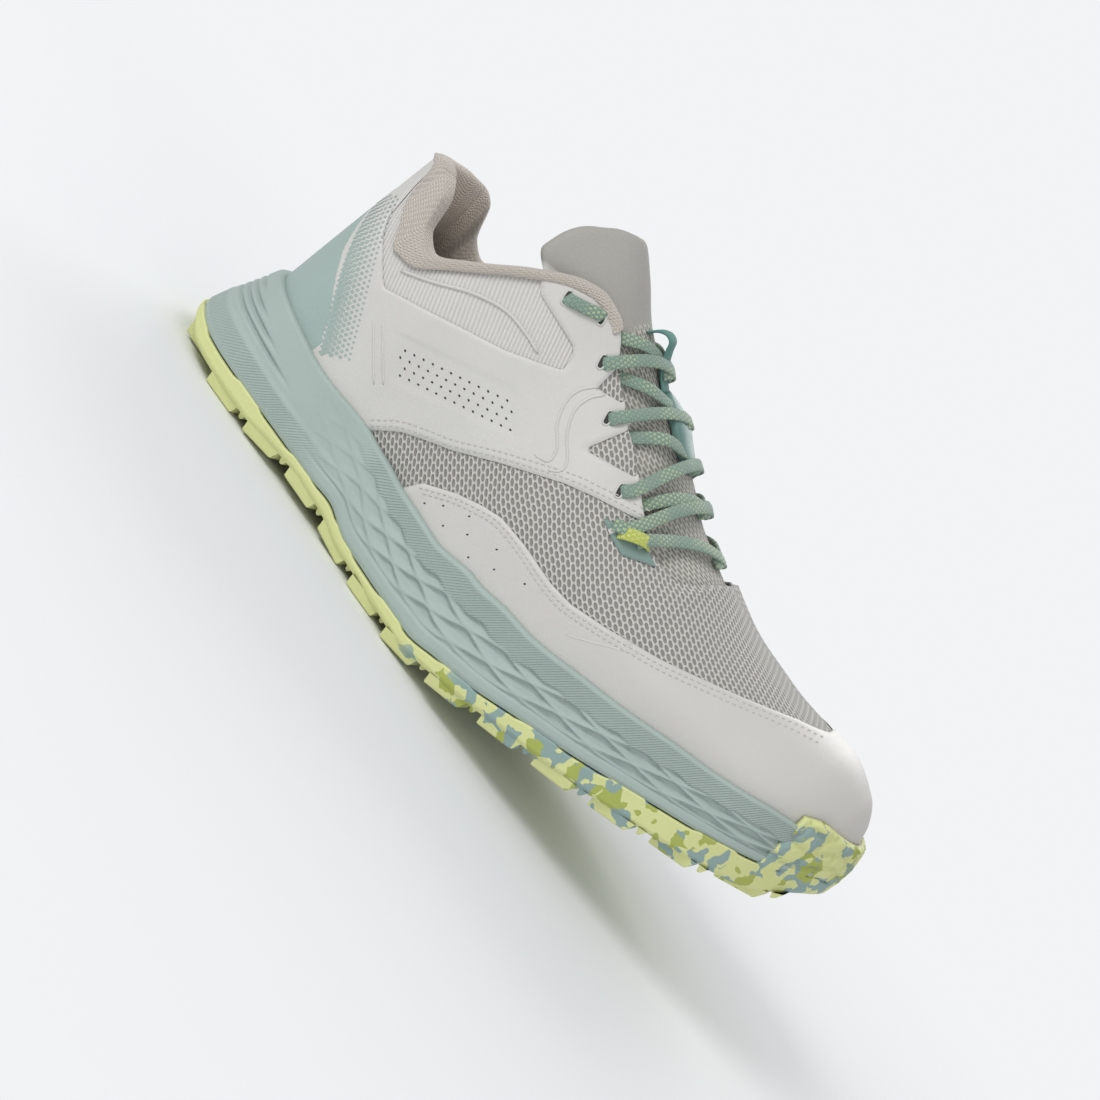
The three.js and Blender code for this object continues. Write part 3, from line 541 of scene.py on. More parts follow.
def woven_material(name, base, fleck, warp_pitch=0.9):
    """A flat woven braid with light flecks."""
    s = Shader(name, 0.75)
    a, b = s.turned(32)
    c, d = s.turned(-32)
    cross = s.math("MAXIMUM", s.wave(a, warp_pitch), s.wave(c, warp_pitch))
    row = s.math("FLOOR", s.math("DIVIDE", s.u, 1.5))
    odd = s.math("MODULO", s.math("ABSOLUTE", row), 2.0)
    spot_u = s.math("ABSOLUTE", s.math("SUBTRACT", s.math("FRACT", s.math("DIVIDE", s.u, 1.5)), 0.5))
    spot_v = s.math("FRACT", s.math("ADD", s.math("DIVIDE", s.v, 1.7), s.math("MULTIPLY", odd, 0.5)))
    spot_v = s.math("ABSOLUTE", s.math("SUBTRACT", spot_v, 0.5))
    spot = s.math("MULTIPLY", s.math("LESS_THAN", spot_u, 0.34), s.math("LESS_THAN", spot_v, 0.24))
    side = s.ramp(s.noise(90, 1), 0.42, 0.6)
    body = s.blend(s.wave(a, warp_pitch), linear(base), tuple(0.8 * k for k in linear(base)[:3]) + (1.0,))
    s.colour(s.blend(s.math("MULTIPLY", spot, s.math("MULTIPLY_ADD", side, 0.5, 0.2)), body, linear(fleck)))
    s.bump(s.math("ADD", cross, s.math("MULTIPLY", s.noise(2500, 2), 0.4)), 0.00025)
    s.set("Sheen Weight", 0.2)
    return s.mat


def foam_material():
    """Foam with a fine comb where the value comb of each point is 1."""
    s = Shader("foam", 0.55)
    comb = s.add("ShaderNodeAttribute", attribute_name="comb").outputs["Fac"]
    lean = s.math("ADD", s.u, s.math("MULTIPLY", s.v, -0.9))
    line = s.wave(lean, 1.25)
    tint = s.noise(22, 2)
    base = s.blend(tint, linear("9ba9a4"), linear("a5b3ae"))
    low = s.math("MULTIPLY", s.math("SUBTRACT", 1.0, line), s.math("MULTIPLY", comb, 0.35))
    s.colour(s.blend(low, base, linear("84978f")))
    height = s.math("ADD", s.math("MULTIPLY", s.math("MULTIPLY", line, comb), 0.8),
                    s.math("MULTIPLY", s.noise(2600, 2), 0.18))
    s.bump(height, 0.00035)
    return s.mat


def rubber_material(name, marbled):
    s = Shader(name, 0.6)
    base = s.blend(s.noise(30, 2), linear("cacf8c"), linear("d4d89b"))
    if marbled:
        cell = s.add("ShaderNodeTexVoronoi", feature="F1", distance="MANHATTAN")
        cell.inputs["Scale"].default_value = 210
        cell.inputs["Randomness"].default_value = 1.0
        s.join(s.here, cell.inputs["Vector"])
        split = s.add("ShaderNodeSeparateColor")
        s.join(cell.outputs["Color"], split.inputs[0])
        chosen = s.math("GREATER_THAN", split.outputs[0], 0.70)
        olive = s.math("LESS_THAN", split.outputs[0], 0.16)
        place = s.add("ShaderNodeSeparateXYZ")
        s.join(s.here, place.inputs[0])
        front = s.ramp(s.math("ADD", place.outputs[0], s.math("MULTIPLY", split.outputs[1], 0.03)), 0.128,
                       0.146)
        base = s.blend(s.math("MULTIPLY", chosen, front), base, linear("8aa19d"))
        base = s.blend(s.math("MULTIPLY", olive, front), base, linear("a3ad55"))
    s.colour(base)
    s.bump(s.noise(1500, 3), 0.00012)
    return s.mat


def plain(name, code, rough=0.6, bump=0.0001):
    s = Shader(name, rough)
    s.colour(linear(code))
    s.bump(s.noise(1800, 2), bump)
    return s.mat


def build(name, points, faces, material, uv=None, values=None, replaces=(), slot=None, smooth=True):
    """A mesh in the row's frame from points in millimetres. values are named numbers for each point."""
    mesh = bpy.data.meshes.new(name)
    pts = np.asarray(points, float) * 0.001
    if isinstance(faces, np.ndarray):
        faces = faces.tolist()
    mesh.from_pydata(pts.tolist(), [], faces)
    mesh.polygons.foreach_set("use_smooth", [smooth] * len(mesh.polygons))
    if uv is not None:
        layer = mesh.uv_layers.new(name="flat")
        index = np.empty(len(mesh.loops), dtype=np.int32)
        mesh.loops.foreach_get("vertex_index", index)
        layer.data.foreach_set("uv", np.asarray(uv, np.float32)[index].ravel())
    for key, value in (values or {}).items():
        layer = mesh.attributes.new(key, "FLOAT", "POINT")
        layer.data.foreach_set("value", np.asarray(value, np.float32))
    mesh.validate()
    mesh.update()
    obj = bpy.data.objects.new(name, mesh)
    bpy.context.scene.collection.objects.link(obj)
    mesh.materials.append(material)
    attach(obj, "root")
    if replaces:
        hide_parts(*replaces)
    return obj


def quads(rows, columns, closed_rows=False, closed_columns=False):
    """Faces of a grid whose points are counted along its columns first."""
    i = np.arange(rows if closed_rows else rows - 1)
    j = np.arange(columns if closed_columns else columns - 1)
    i, j = [a.ravel() for a in np.meshgrid(i, j, indexing="ij")]
    i2, j2 = (i + 1) % rows, (j + 1) % columns
    return np.stack([i * columns + j, i2 * columns + j, i2 * columns + j2, i * columns + j2], 1)


def joined(parts):
    """Several (points, faces, uv) joined as one."""
    points, faces, uvs, base = [], [], [], 0
    for p, f, uv in parts:
        points.append(p)
        uvs.append(uv if uv is not None else np.zeros((len(p), 2)))
        faces.extend((np.asarray(q) + base).tolist() for q in f)
        base += len(p)
    return np.concatenate(points), faces, np.concatenate(uvs)


def to_outline(x, z, corners):
    """Signed distance in millimetres to an outline seen from the side, positive inside."""
    c = np.array(corners, float)
    d = np.full(x.shape, 1e9)
    inside = np.zeros(x.shape, bool)
    for (ax, az), (bx, bz) in zip(c, np.roll(c, -1, axis=0)):
        ex, ez = bx - ax, bz - az
        t = np.clip(((x - ax) * ex + (z - az) * ez) / (ex * ex + ez * ez), 0, 1)
        d = np.minimum(d, np.hypot(x - ax - t * ex, z - az - t * ez))
        if az != bz:
            inside ^= ((az > z) != (bz > z)) & (x < (bx - ax) * (z - az) / (bz - az) + ax)
    return np.where(inside, d, -d)


def clipped(ways, rises, keep):
    """Points (way, rise) and faces of a grid cut along keep = 0, with the value of keep at each point."""
    n, m = rises.shape
    w = np.broadcast_to(ways[:, None], rises.shape)
    ok = keep > 0
    cell = quads(n, m)
    flat_ok = ok.ravel()[cell]
    ids = -np.ones(n * m, int)
    ids[ok.ravel()] = np.arange(ok.sum())
    W, R, K = [a.ravel()[ok.ravel()].tolist() for a in (w, rises, keep)]
    faces = ids[cell[flat_ok.all(1)]].tolist()
    cut = {}
    wf, rf, kf = w.ravel(), rises.ravel(), keep.ravel()
    for corner in cell[flat_ok.any(1) & ~flat_ok.all(1)]:
        face = []
        for a, b in zip(corner, np.roll(corner, -1)):
            if kf[a] > 0:
                face.append(int(ids[a]))
            if (kf[a] > 0) != (kf[b] > 0):
                key = (min(a, b), max(a, b))
                if key not in cut:
                    t = kf[key[0]] / (kf[key[0]] - kf[key[1]])
                    cut[key] = len(W)
                    W.append(mix(wf[key[0]], wf[key[1]], t))
                    R.append(mix(rf[key[0]], rf[key[1]], t))
                    K.append(0.0)
                face.append(cut[key])
        if len(face) > 2:
            faces.append(face)
    return np.array(W), np.array(R), np.array(K), faces


def panel(name, corners, from_way, to_way, rows, base, thick, material, edge=0.8, step=1.0, relief=None,
          **said):
    """A film laid on the upper inside an outline seen from the side, on both sides of the shoe."""
    count = int(abs(to_way - from_way) * 350 / step)
    ways = np.linspace(from_way, to_way, count)
    top = edge_rise(ways)
    rises = np.linspace(0, 1, rows)[None] * top[:, None]
    p = skin(ways[:, None], rises, np.full(rises.shape, 0.8))
    keep = to_outline(p[..., 0] + HEEL_REST, p[..., 2], corners)
    share = share_of(ways)[:, None]
    low = p[..., 2] - wall_top(share_at(p[..., 0])) + 2.0
    keep = np.minimum(keep, low)
    up = np.linalg.norm(p[:, -1:] - p, axis=-1) + 0.3
    keep = np.where((share < 0.645), np.minimum(keep, up), keep)
    W, R, K, faces = clipped(ways, rises, keep)
    full = thick * ease(-0.25, edge, K) ** 0.7
    if relief is not None:
        q = skin(W, R, np.full(W.shape, 0.8))
        full = full + relief(q[:, 0] + HEEL_REST, q[:, 2], K)
    points = skin(W, R, base + full)
    return build(name, points, faces, material, flat(W, R), **said)


def curve(a, b, c, d, t):
    """The place at t between b and c on a smooth line through a, b, c and d."""
    bend = 2 * a - 5 * b + 4 * c - d
    twist = 3 * b - a - 3 * c + d
    return 0.5 * (2 * b + (c - a) * t + bend * t**2 + twist * t**3)


def smooth_path(places, count):
    """A smooth line through places, with the same number of points between each two."""
    p = np.array(places, float)
    padded = np.concatenate([[2 * p[0] - p[1]], p, [2 * p[-1] - p[-2]]])
    out = []
    for k in range(len(p) - 1):
        a, b, c, d = padded[k:k + 4]
        for t in np.linspace(0, 1, count, endpoint=False):
            out.append(curve(a, b, c, d, t))
    out.append(p[-1])
    return np.array(out)


def ribbon(points, normals, width, thick, sides=12, flatness=0.35, taper=False):
    """A flat cord along points, with its broad side to the normals. Gives (points, faces, uv)."""
    p = np.asarray(points, float)
    ahead = np.gradient(p, axis=0)
    ahead /= np.linalg.norm(ahead, axis=1)[:, None]
    n = normals - (normals * ahead).sum(1)[:, None] * ahead
    n /= np.linalg.norm(n, axis=1)[:, None]
    across = np.cross(n, ahead)
    angle = np.linspace(0, 2 * np.pi, sides, endpoint=False)
    ca = np.sign(np.cos(angle)) * np.abs(np.cos(angle))**flatness * 0.5
    sa = np.sign(np.sin(angle)) * np.abs(np.sin(angle))**0.8 * 0.5
    size = np.ones(len(p))
    if taper:
        size[0] = size[-1] = 0.4
    ring = (p[:, None] + across[:, None] * (ca[None] * width * size[:, None])[..., None]
            + n[:, None] * (sa[None] * thick * size[:, None])[..., None])
    run = np.concatenate([[0], np.cumsum(np.linalg.norm(np.diff(p, axis=0), axis=1))])
    uv = np.stack([np.broadcast_to(run[:, None], ring.shape[:2]),
                   np.broadcast_to(ca * width + 20, ring.shape[:2])], -1)
    faces = quads(len(p), sides, closed_columns=True).tolist()
    last = (len(p) - 1) * sides
    faces.append(list(range(sides)))
    faces.append([last + k for k in range(sides)][::-1])
    return ring.reshape(-1, 3), faces, uv.reshape(-1, 2)


def on_skin(way, rise, out):
    """Points and normals of places on the surface."""
    way, rise, out = np.broadcast_arrays(*[np.asarray(a, float) for a in (way, rise, out)])
    return skin(way, rise, out), outward(way, rise)


def welt(places, side, out, width, thick, count=6):
    """A raised line on the film through places seen from the side."""
    path = smooth_path(places, count)
    way, rise = locate(path, side)
    p, n = on_skin(way, rise, out)
    return ribbon(p, n, width, thick, sides=8, flatness=0.8, taper=True)


def stitches(places, side, out, pitch=2.2, length=1.5, width=0.42, height=0.35):
    """Stitches of thread along places seen from the side."""
    path = np.array(places, float)
    gap = np.linalg.norm(np.diff(path, axis=0), axis=1)
    run = np.concatenate([[0], np.cumsum(gap)])
    at = np.arange(pitch / 2, run[-1], pitch)
    centre = np.stack([np.interp(at, run, path[:, k]) for k in (0, 1)], 1)
    ahead = np.stack([np.interp(at + 0.5, run, path[:, k]) for k in (0, 1)], 1)
    way, rise = locate(centre, side)
    way2, rise2 = locate(ahead, side)
    p, n = on_skin(way, rise, out)
    q, _ = on_skin(way2, rise2, out)
    t = q - p
    t /= np.maximum(np.linalg.norm(t, axis=1), 1e-6)[:, None]
    s = np.cross(n, t)
    parts = []
    for k in range(len(p)):
        corner = []
        for a, b in ((-1, -1), (1, -1), (1, 1), (-1, 1)):
            corner.append(p[k] + t[k] * a * length / 2 + s[k] * b * width / 2 - n[k] * 0.1)
        for a, b in ((-1, -1), (1, -1), (1, 1), (-1, 1)):
            corner.append(p[k] + t[k] * a * length * 0.32 + s[k] * b * width * 0.28 + n[k] * height)
        faces = [[4, 5, 6, 7], [0, 1, 5, 4], [1, 2, 6, 5], [2, 3, 7, 6], [3, 0, 4, 7]]
        parts.append((np.array(corner), faces, None))
    return parts


def discs(places, side, out, radius, squash=1.0, sides=10):
    """Small flat discs on the surface at places seen from the side."""
    way, rise = locate(places, side)
    p, n = on_skin(way, rise, out)
    return discs_at(p, n, radius, squash, sides)


def discs_at(p, n, radius, squash=1.0, sides=10):
    t = np.cross(n, np.array([0.0, 1.0, 0.15]))
    t /= np.linalg.norm(t, axis=1)[:, None]
    s = np.cross(n, t)
    angle = np.linspace(0, 2 * np.pi, sides, endpoint=False)
    r = np.broadcast_to(np.asarray(radius, float), (len(p),))
    parts = []
    for k in range(len(p)):
        ring = p[k] + (np.cos(angle)[:, None] * t[k] + np.sin(angle)[:, None] * s[k] * squash) * r[k]
        parts.append((ring, [list(range(sides))], None))
    return parts


OPEN = 150
QUARTER = [
    (-30, 20), (77.3, 20), (79.4, 35.5), (82.9, 39.8), (86.4, 43.8), (94, 49.2), (101.9, 54.2),
    (115.9, 65.6), (134.5, 79.2), (144, 84.5), (159.5, 91.9), (161, OPEN), (145.9, OPEN), (145.9, 98),
    (137.8, 94.6), (128.9, 90.6), (131.6, 104), (131.6, OPEN), (122.8, OPEN), (122.8, 108.6), (114.5, 105.3),
    (112.5, 113.8), (112.5, OPEN), (69.3, OPEN), (73.8, 112), (78.4, 109.2), (90.3, 108.2),
    (98.4, 107.4), (101.6, 105), (102.8, 99.9), (96.7, 95.6), (86.3, 88.9), (67.5, 79.7),
    (46.7, 69.6), (43.8, 68.1), (40.6, 69.5), (27.6, 78.2), (23, 82.7), (17.6, 88.1), (-30, 90),
]
# The film over the heel counter, that the knit laps over.
COUNTER = [(-30, 60), (27.6, 60), (40.6, 60), (40.6, 69.5), (27.6, 78.2), (23, 82.7), (19, 95), (15, 112),
           (12, 125), (-30, 125)]
GUARD = [
    (96, 20), (330, 20), (330, OPEN), (256, OPEN),
    (252.2, 96), (242.5, 92.3), (231.9, 87.1), (216.8, 79.6), (201.2, 71.8), (192, 67.9), (182.6, 63.9),
    (168.7, 58.6), (159, 57.1), (143.4, 57), (131.3, 55.7), (123.3, 52.2), (114.8, 47.3), (105, 39.8),
]
PATCH = [(151.6, 82.8), (159, 81.2), (165.2, 80.7), (175, 87), (160.6, 88.9)]
CHAMFER_LINES = [
    [(114.3, 106), (111.7, 100.5), (112.3, 94.6), (116.9, 88), (123.3, 83.7), (125.3, 79.1), (120.9, 76.5)],
    [(117.7, 106), (115.7, 100.9), (116.6, 94.8), (121.7, 88.7), (129.2, 83.7), (130.3, 80.2), (127.6, 77.2)],
]
EYELETS = [(84.2, 115.3), (96.1, 120.2), (108, 111.5), (124.7, 102.3), (147.3, 91.9)]
HOLDS = {side: locate(EYELETS + [(163.5, 88.2), (159.0, 86.2)], side) for side in (1, -1)}


def line_inside(corners, first, last, distance):
    """Part of an outline moved in by a distance, for a row of stitches."""
    c = np.array(corners, float)[first:last]
    path = smooth_path(c, 6)
    t = np.gradient(path, axis=0)
    t /= np.linalg.norm(t, axis=1)[:, None]
    return path + np.stack([-t[:, 1], t[:, 0]], 1) * distance


FILM_MAT = film_material()
GUARD_MAT = guard_material()
UPPER_MAT = upper_material()
KNIT_MAT = knit_material()
LACE_MAT = woven_material("lace_weave", "829b8f", "bcc998")
# Near-black painted shade that stands for the insides of punched holes and eyelets.
HOLE_SHADE_MAT = plain("hole_painted_shade", "3a3a38", 0.9)
THREAD_MAT = plain("thread", "c9c7c1", 0.7)


def make_upper():
    """The cloth of the upper: outside, inside and the rolled edge between them."""
    n, m = 361, 61
    ways = np.linspace(-1, 1, n)
    top = edge_rise(ways)
    rises = np.linspace(0, 1, m)[None] * top[:, None]
    w = np.broadcast_to(ways[:, None], rises.shape)
    share = share_of(w)
    # The front end of the throat sinks towards the tongue.
    dip = ease(0.57, 0.625, share) * (1 - ease(0.66, 0.70,
                                               share)) * (1 - ease(0.0, 0.12, top[:, None] - rises))
    outer = skin(w, rises, -THROAT_DIP * dip)
    inner = skin(w, rises, np.full(rises.shape, -WALL))
    uv = flat(w, rises)
    grid = np.concatenate([outer, inner[:, ::-1]], 1)
    uvs = np.concatenate([uv, uv[:, ::-1]], 1)
    x, z = grid[..., 0] + HEEL_REST, grid[..., 2]
    line = np.interp(x, [35, 46, 68, 97, 106, 112], [60, 64, 74, 91, 98, 130])
    cloth = ease(-1.5, 1.5, z - line) * (x < 112)
    faces = quads(n, 2 * m, closed_columns=True)
    build("upper_cloth", grid.reshape(-1, 3), faces, UPPER_MAT, uvs.reshape(-1, 2), {"panel": cloth.ravel()},
          replaces=("upper",), slot="upper_mesh")


def perforation(x, z):
    """How far inside the perforated field a place lies."""
    return to_outline(x, z, [(58, 62.5), (99, 84), (111.5, 74.5), (70.5, 52)])


def quarter_relief(x, z, k):
    field = ease(-0.8, 0.6, perforation(x, z))
    return -0.25 * field


def make_films():
    panel("quarter_panels", QUARTER, -0.56, 0.56, 96, 0.1, FILM, FILM_MAT, relief=quarter_relief,
          replaces=("quarter_film",), slot="upper_film")
    panel("heel_counter", COUNTER, -0.24, 0.24, 96, 0.1, FILM * 0.8, FILM_MAT, slot="upper_film")
    ways = []
    for side in (1, -1):
        ways.append((0.36 * side, 1.0 * side))
    for (a, b), name in zip(ways, ("outer", "inner")):
        said = {"replaces": ("toe_guard",)} if name == "outer" else {}
        panel("toe_guard_" + name, GUARD, a, b, 84, 0.1, FILM, GUARD_MAT, slot="upper_film", **said)
    for side, name in ((1, "outer"), (-1, "inner")):
        panel("patch_" + name, PATCH, 0.49 * side, 0.60 * side, 180, 0.1, 0.7, PATCH_MAT, edge=0.5, step=0.45,
              replaces=("throat_patch_" + name,), slot="patch_film")


PATCH_MAT = plain("patch_film", "788f88", 0.5)


def make_seams():
    """Rows of stitches, raised lines, and holes drawn as dark discs of painted shade."""
    rows, arcs, lines, holes = [], [], [], []
    for side in (1, -1):
        for d in (1.6, 3.6):
            rows += stitches(line_inside(QUARTER, 2, 11, d), side, 1.0)
        for d in (1.6, 3.2):
            rows += stitches(line_inside(GUARD, 4, 18, d), side, 1.0)
        arc = [(42.3, 76), (53, 83.1), (63.4, 91), (74.8, 96.6), (85.3, 97.7), (93.6, 97)]
        arcs.append(welt(arc, side, 0.25, 1.2, 0.9))
        for path in CHAMFER_LINES:
            lines.append(welt(path, side, 1.0, 1.0, 0.7))
        for a, b in (((50.5, 59), (68.2, 46)), ((52.6, 61.6), (70.3, 48.6))):
            lines.append(welt([a, ((a[0] + b[0]) / 2, (a[1] + b[1]) / 2), b], side, 1.0, 0.9, 0.6))
        lines.append(welt([(175.9, 51.3), (186, 59.5), (195.7, 67.2)], side, 0.98, 0.5, 0.25))
        # Holes of the perforated field: rows along its long side, every other row shifted. Each hole is a
        # near-black disc of painted shade.
        spots = []
        for r in range(5):
            for k in range(13):
                t = (k + 0.5 * (r % 2)) / 12.6
                a = np.array([62.6, 60.4]) * (1 - t) + np.array([102.2, 80.9]) * t
                spot = a + np.array([2.35, -1.9]) * r + np.array([0.0, -0.4])
                if perforation(np.array([spot[0]]), np.array([spot[1]]))[0] > 1.2:
                    spots.append(spot)
        holes += discs(spots, side, 0.80, 0.5, 0.7)
        # Pin holes, also near-black discs of painted shade.
        pins = [(111.1, 36.6), (115.8, 41.5), (124.3, 47), (121.3, 37.7), (128.9, 43), (139.1, 48.5),
                (135.3, 39),
                (144, 44), (154.2, 49.9)]
        holes += discs(pins, side, 1.06, 0.45, 0.7)
    p, f, uv = joined(rows)
    build("seam_stitches", p, f, THREAD_MAT, uv, smooth=False)
    for name, group in (("panel_seam", arcs), ("raised_lines", lines)):
        p, f, uv = joined(group)
        build(name, p, f, FILM_MAT, uv)
    p, f, uv = joined(holes)
    build("punched_hole_shade", p, f, HOLE_SHADE_MAT, uv)


def make_print():
    """The printed heel: a full field that breaks up into squares towards the front."""
    solid = [(-30, 20), (47, 20), (45.9, 39.2), (40.7, 46.4), (33.3, 53.6), (23.3, 63.6), (10, 82),
             (4, 92), (-30, 92)]
    panel("heel_print", solid, -0.27, 0.27, 110, 0.14, FILM, PRINT_MAT, edge=0.3)
    parts = []
    a, b = np.array([46.5, 39.0]), np.array([10.5, 82.5])
    run = (b - a) / np.linalg.norm(b - a)
    ahead = np.array([run[1], -run[0]])
    spots, sizes = [], []
    for column in range(7):
        for k in range(30):
            spot = a + run * (k * 1.95 + 0.97 * (column % 2)) + ahead * (0.5 + 1.7 * column) - run * 2
            if spot[1] > 35 and spot[0] > 8:
                spots.append(spot)
                sizes.append(1.42 - 0.14 * column)
    for side in (1, -1):
        parts += discs(spots, side, FILM + 0.2, np.array(sizes), 0.8, 4)
    p, f, uv = joined(parts)
    build("heel_print_spots", p, f, PRINT_MAT, uv)


PRINT_MAT = plain("heel_print", "9bada7", 0.5)


def make_collar():
    ways = np.linspace(float(way_of(0.345)), -float(way_of(0.345)), 221)
    share = share_of(ways)
    pad = 1 - ease(0.14, 0.26, share)
    edge = edge_rise(ways)
    depth = 3 + 27 * pad
    face = WALL + 0.4
    thick = 0.7 + 6.3 * pad
    lap = LAP(share)["down"]
    zero = np.zeros_like(share)
    outline_points = [
        (zero + 1.05, -lap - 0.3, 0), (zero + 1.6, -lap + 0.4, 0), (zero + 1.9, -lap * 0.6,
                                                                    0), (zero + 2.0, -lap * 0.25, 0),
        (zero + 1.4, 0.4 - 0.5 * pad, 0), (zero + 0.1, 1.6 - 0.5 * pad,
                                           0), (-face * 0.6 - 0.2 * thick, 2.2 - 0.1 * pad, 0.1),
        (-face - 0.45 * thick, 1.2 + 0.2 * pad, 0.3), (-face - 0.72 * thick, -1.6 - 1.6 * pad, 0.7),
        (-face - 0.95 * thick, -0.34 * depth, 1), (-face - 0.95 * thick, -0.66 * depth,
                                                   1), (-face - 0.45 * thick, -0.92 * depth, 1),
        (-face - 0.1 + zero, -depth, 1),
    ]
    out = np.stack([a for a, _, _ in outline_points], 1)
    up = np.stack([b for _, b, _ in outline_points], 1)
    inside = np.array([c for _, _, c in outline_points])
    # Four points between each two, on a smooth line.
    t = np.linspace(0, len(outline_points) - 1, 4 * (len(outline_points) - 1) + 1)
    k = np.clip(t.astype(int), 0, len(outline_points) - 2)
    f = t - k

    def spline(values):
        v = np.concatenate([2 * values[:, :1] - values[:, 1:2], values,
                            2 * values[:, -1:] - values[:, -2:-1]], 1)
        a, b, c, d = v[:, k], v[:, k + 1], v[:, k + 2], v[:, k + 3]
        return curve(a, b, c, d, f)
    out, up = spline(out), spline(up)
    w = np.broadcast_to(ways[:, None], up.shape)
    rises = rise_by(w, np.broadcast_to(edge[:, None], up.shape), up)
    points = skin(w, rises, out)
    u = flat(w, rises)[..., 0]
    run = np.concatenate([np.zeros((len(ways), 1)),
                          np.cumsum(np.linalg.norm(np.diff(points, axis=1), axis=-1), 1)], 1)
    uv = np.stack([u, run], -1)
    inner = np.broadcast_to(np.interp(t, np.arange(len(inside)), inside), up.shape)
    build("collar_padding", points.reshape(-1, 3), quads(*up.shape), KNIT_MAT, uv.reshape(-1, 2),
          {"inside": inner.ravel()},
          replaces=("collar",), slot="collar_knit")


def tongue_sheet(out_extra, s, part):
    side = np.where(s <= 0, 1.0, -1.0)
    j = 1 - np.abs(s)
    guess = mix(0.22, 0.675, part)
    held = np.clip(guess, 0.335, 0.56)
    low = np.minimum(edge_rise(way_of(held)) - 0.1, 0.48 + 0.9 * (guess - 0.2))
    rise = mix(low, 1, j)
    # The wings of its free end lie a little further back than in the solid, as in the picture.
    low_wing = ease(0.44, 0.56, 1 - rise)
    end = 0.257 - WINGS_BACK * ease(0.02, 0.40, 1 - rise) * (1 - low_wing) + 0.012 * low_wing
    end = end + 0.011 * (1 - ease(0.0, 0.14, 1 - rise))
    share = mix(end, 0.675, part)
    proud = 2.8 * (1 - ease(0.27, 0.38, share)) * ease(0.62, 0.9, rise)
    out = proud - 4.1 + out_extra
    way = side * way_of(share)
    points = skin(way, rise, out)
    points[..., 2] -= WINGS_DOWN * ease(0.0, 0.22, 1 - rise) * (1 - low_wing) * (1 - ease(0.0, 0.28, part))
    return points, flat(way, rise), share


def make_tongue():
    m = 91
    parts = np.linspace(0, 1, 121)
    s = np.linspace(-1, 1, m)
    S, T = np.meshgrid(s, parts)
    round_off = np.sqrt(np.clip(1 - np.abs(S)**14, 0,
                                1)) * np.sqrt(np.clip(1 - (1 - np.clip(T / 0.035, 0, 1))**2, 0, 1))
    _, _, share = tongue_sheet(0.0, S, T)
    full = np.where(share > 0.6, 2.5, mix(5.0, 2.5, ease(0.55, 0.6, share)))
    outer, uv, _ = tongue_sheet(-full * 0.5 * (1 - round_off), S, T)
    inner, _, _ = tongue_sheet(-full * (0.5 + 0.5 * round_off), S, T)
    grid = np.concatenate([outer, inner[:, ::-1]], 1)
    uvs = np.concatenate([uv, uv[:, ::-1]], 1)
    rows, columns = grid.shape[:2]
    faces = quads(rows, columns, closed_columns=True)
    tops = np.concatenate([share, share[:, ::-1]], 1)
    smooth_zone = 1 - ease(0.352, 0.358, tops)
    back = np.concatenate([np.zeros(outer.shape[:2]), np.ones(inner.shape[:2])], 1)
    # rim is 1 along the tongue's side edges, where a near-white highlight is painted.
    rim = np.concatenate([ease(0.955, 0.975, np.abs(S)), ease(0.955, 0.975, np.abs(S[:, ::-1]))], 1)
    build("tongue_padding", grid.reshape(-1, 3), faces, TONGUE_MAT, uvs.reshape(-1, 2),
          {"smooth": smooth_zone.ravel(), "back": back.ravel(),
           "rim": rim.ravel()}, replaces=("tongue",), slot="tongue_mesh")


def tongue_material():
    """Net below, smooth cloth above, blue-grey ribs on the back and a painted highlight along its side edges.
    """
    s = Shader("tongue_cloth", 0.8)
    smooth = s.add("ShaderNodeAttribute", attribute_name="smooth").outputs["Fac"]
    back = s.add("ShaderNodeAttribute", attribute_name="back").outputs["Fac"]
    rim = s.add("ShaderNodeAttribute", attribute_name="rim").outputs["Fac"]
    net = cells(s, 3.6, 1.6, -8)
    hole = s.math("MULTIPLY", s.math("SUBTRACT", 1.0, s.ramp(net, 0.28, 0.62)), 0.8)
    woven = s.blend(hole, linear("c2c0b8"), linear("7d7b74"))
    suede = s.blend(s.noise(1600, 3), linear("979590"), linear("a8a6a0"))
    colour = s.blend(smooth, woven, suede)
    _, across = s.turned(8)
    lining = s.blend(s.wave(across, 1.6), linear("9aa0ab"), linear("b9bdc5"))
    colour = s.blend(back, colour, lining)
    # Near-white painted highlight along the side edges, where rim is 1.
    s.colour(s.blend(rim, colour, linear("dfdfdc")))
    rough = s.math("MULTIPLY", s.ramp(net, 0.15, 0.9), s.math("SUBTRACT", 1.0, smooth))
    s.bump(s.math("ADD", rough, s.math("MULTIPLY", s.noise(1800, 2), 0.3)), 0.0004)
    return s.mat


TONGUE_MAT = tongue_material()


def lace_run(places, width=LACE_WIDTH, thick=LACE, count=8):
    """A lace through places given as (way share, side, rise, out)."""
    ways, rises, outs = [], [], []
    for share, side, above, out in places:
        way = side * float(way_of(share))
        ways.append(way)
        rises.append(above)
        outs.append(out)
    ways, rises, outs = np.array(ways), np.array(rises), np.array(outs)
    p, n = on_skin(ways, rises, outs)
    path = smooth_path(p, count)
    normals = smooth_path(n, count)
    return ribbon(path, normals, width, thick)


# Each crossing has its share at the ridge. Each arm of it has its share at the throat's edge and its
# eyelet, or none where it comes from under a petal.
CROSSINGS = [
    (0.405, [(0.352, None), (0.364, 2)]),
    (0.463, [(0.386, None), (0.418, 3)]),
    (0.512, [(0.449, None), (0.496, 4)]),
    (0.562, [(0.522, None), (0.550, "loop")]),
    (0.622, [(0.572, "loop")]),
]


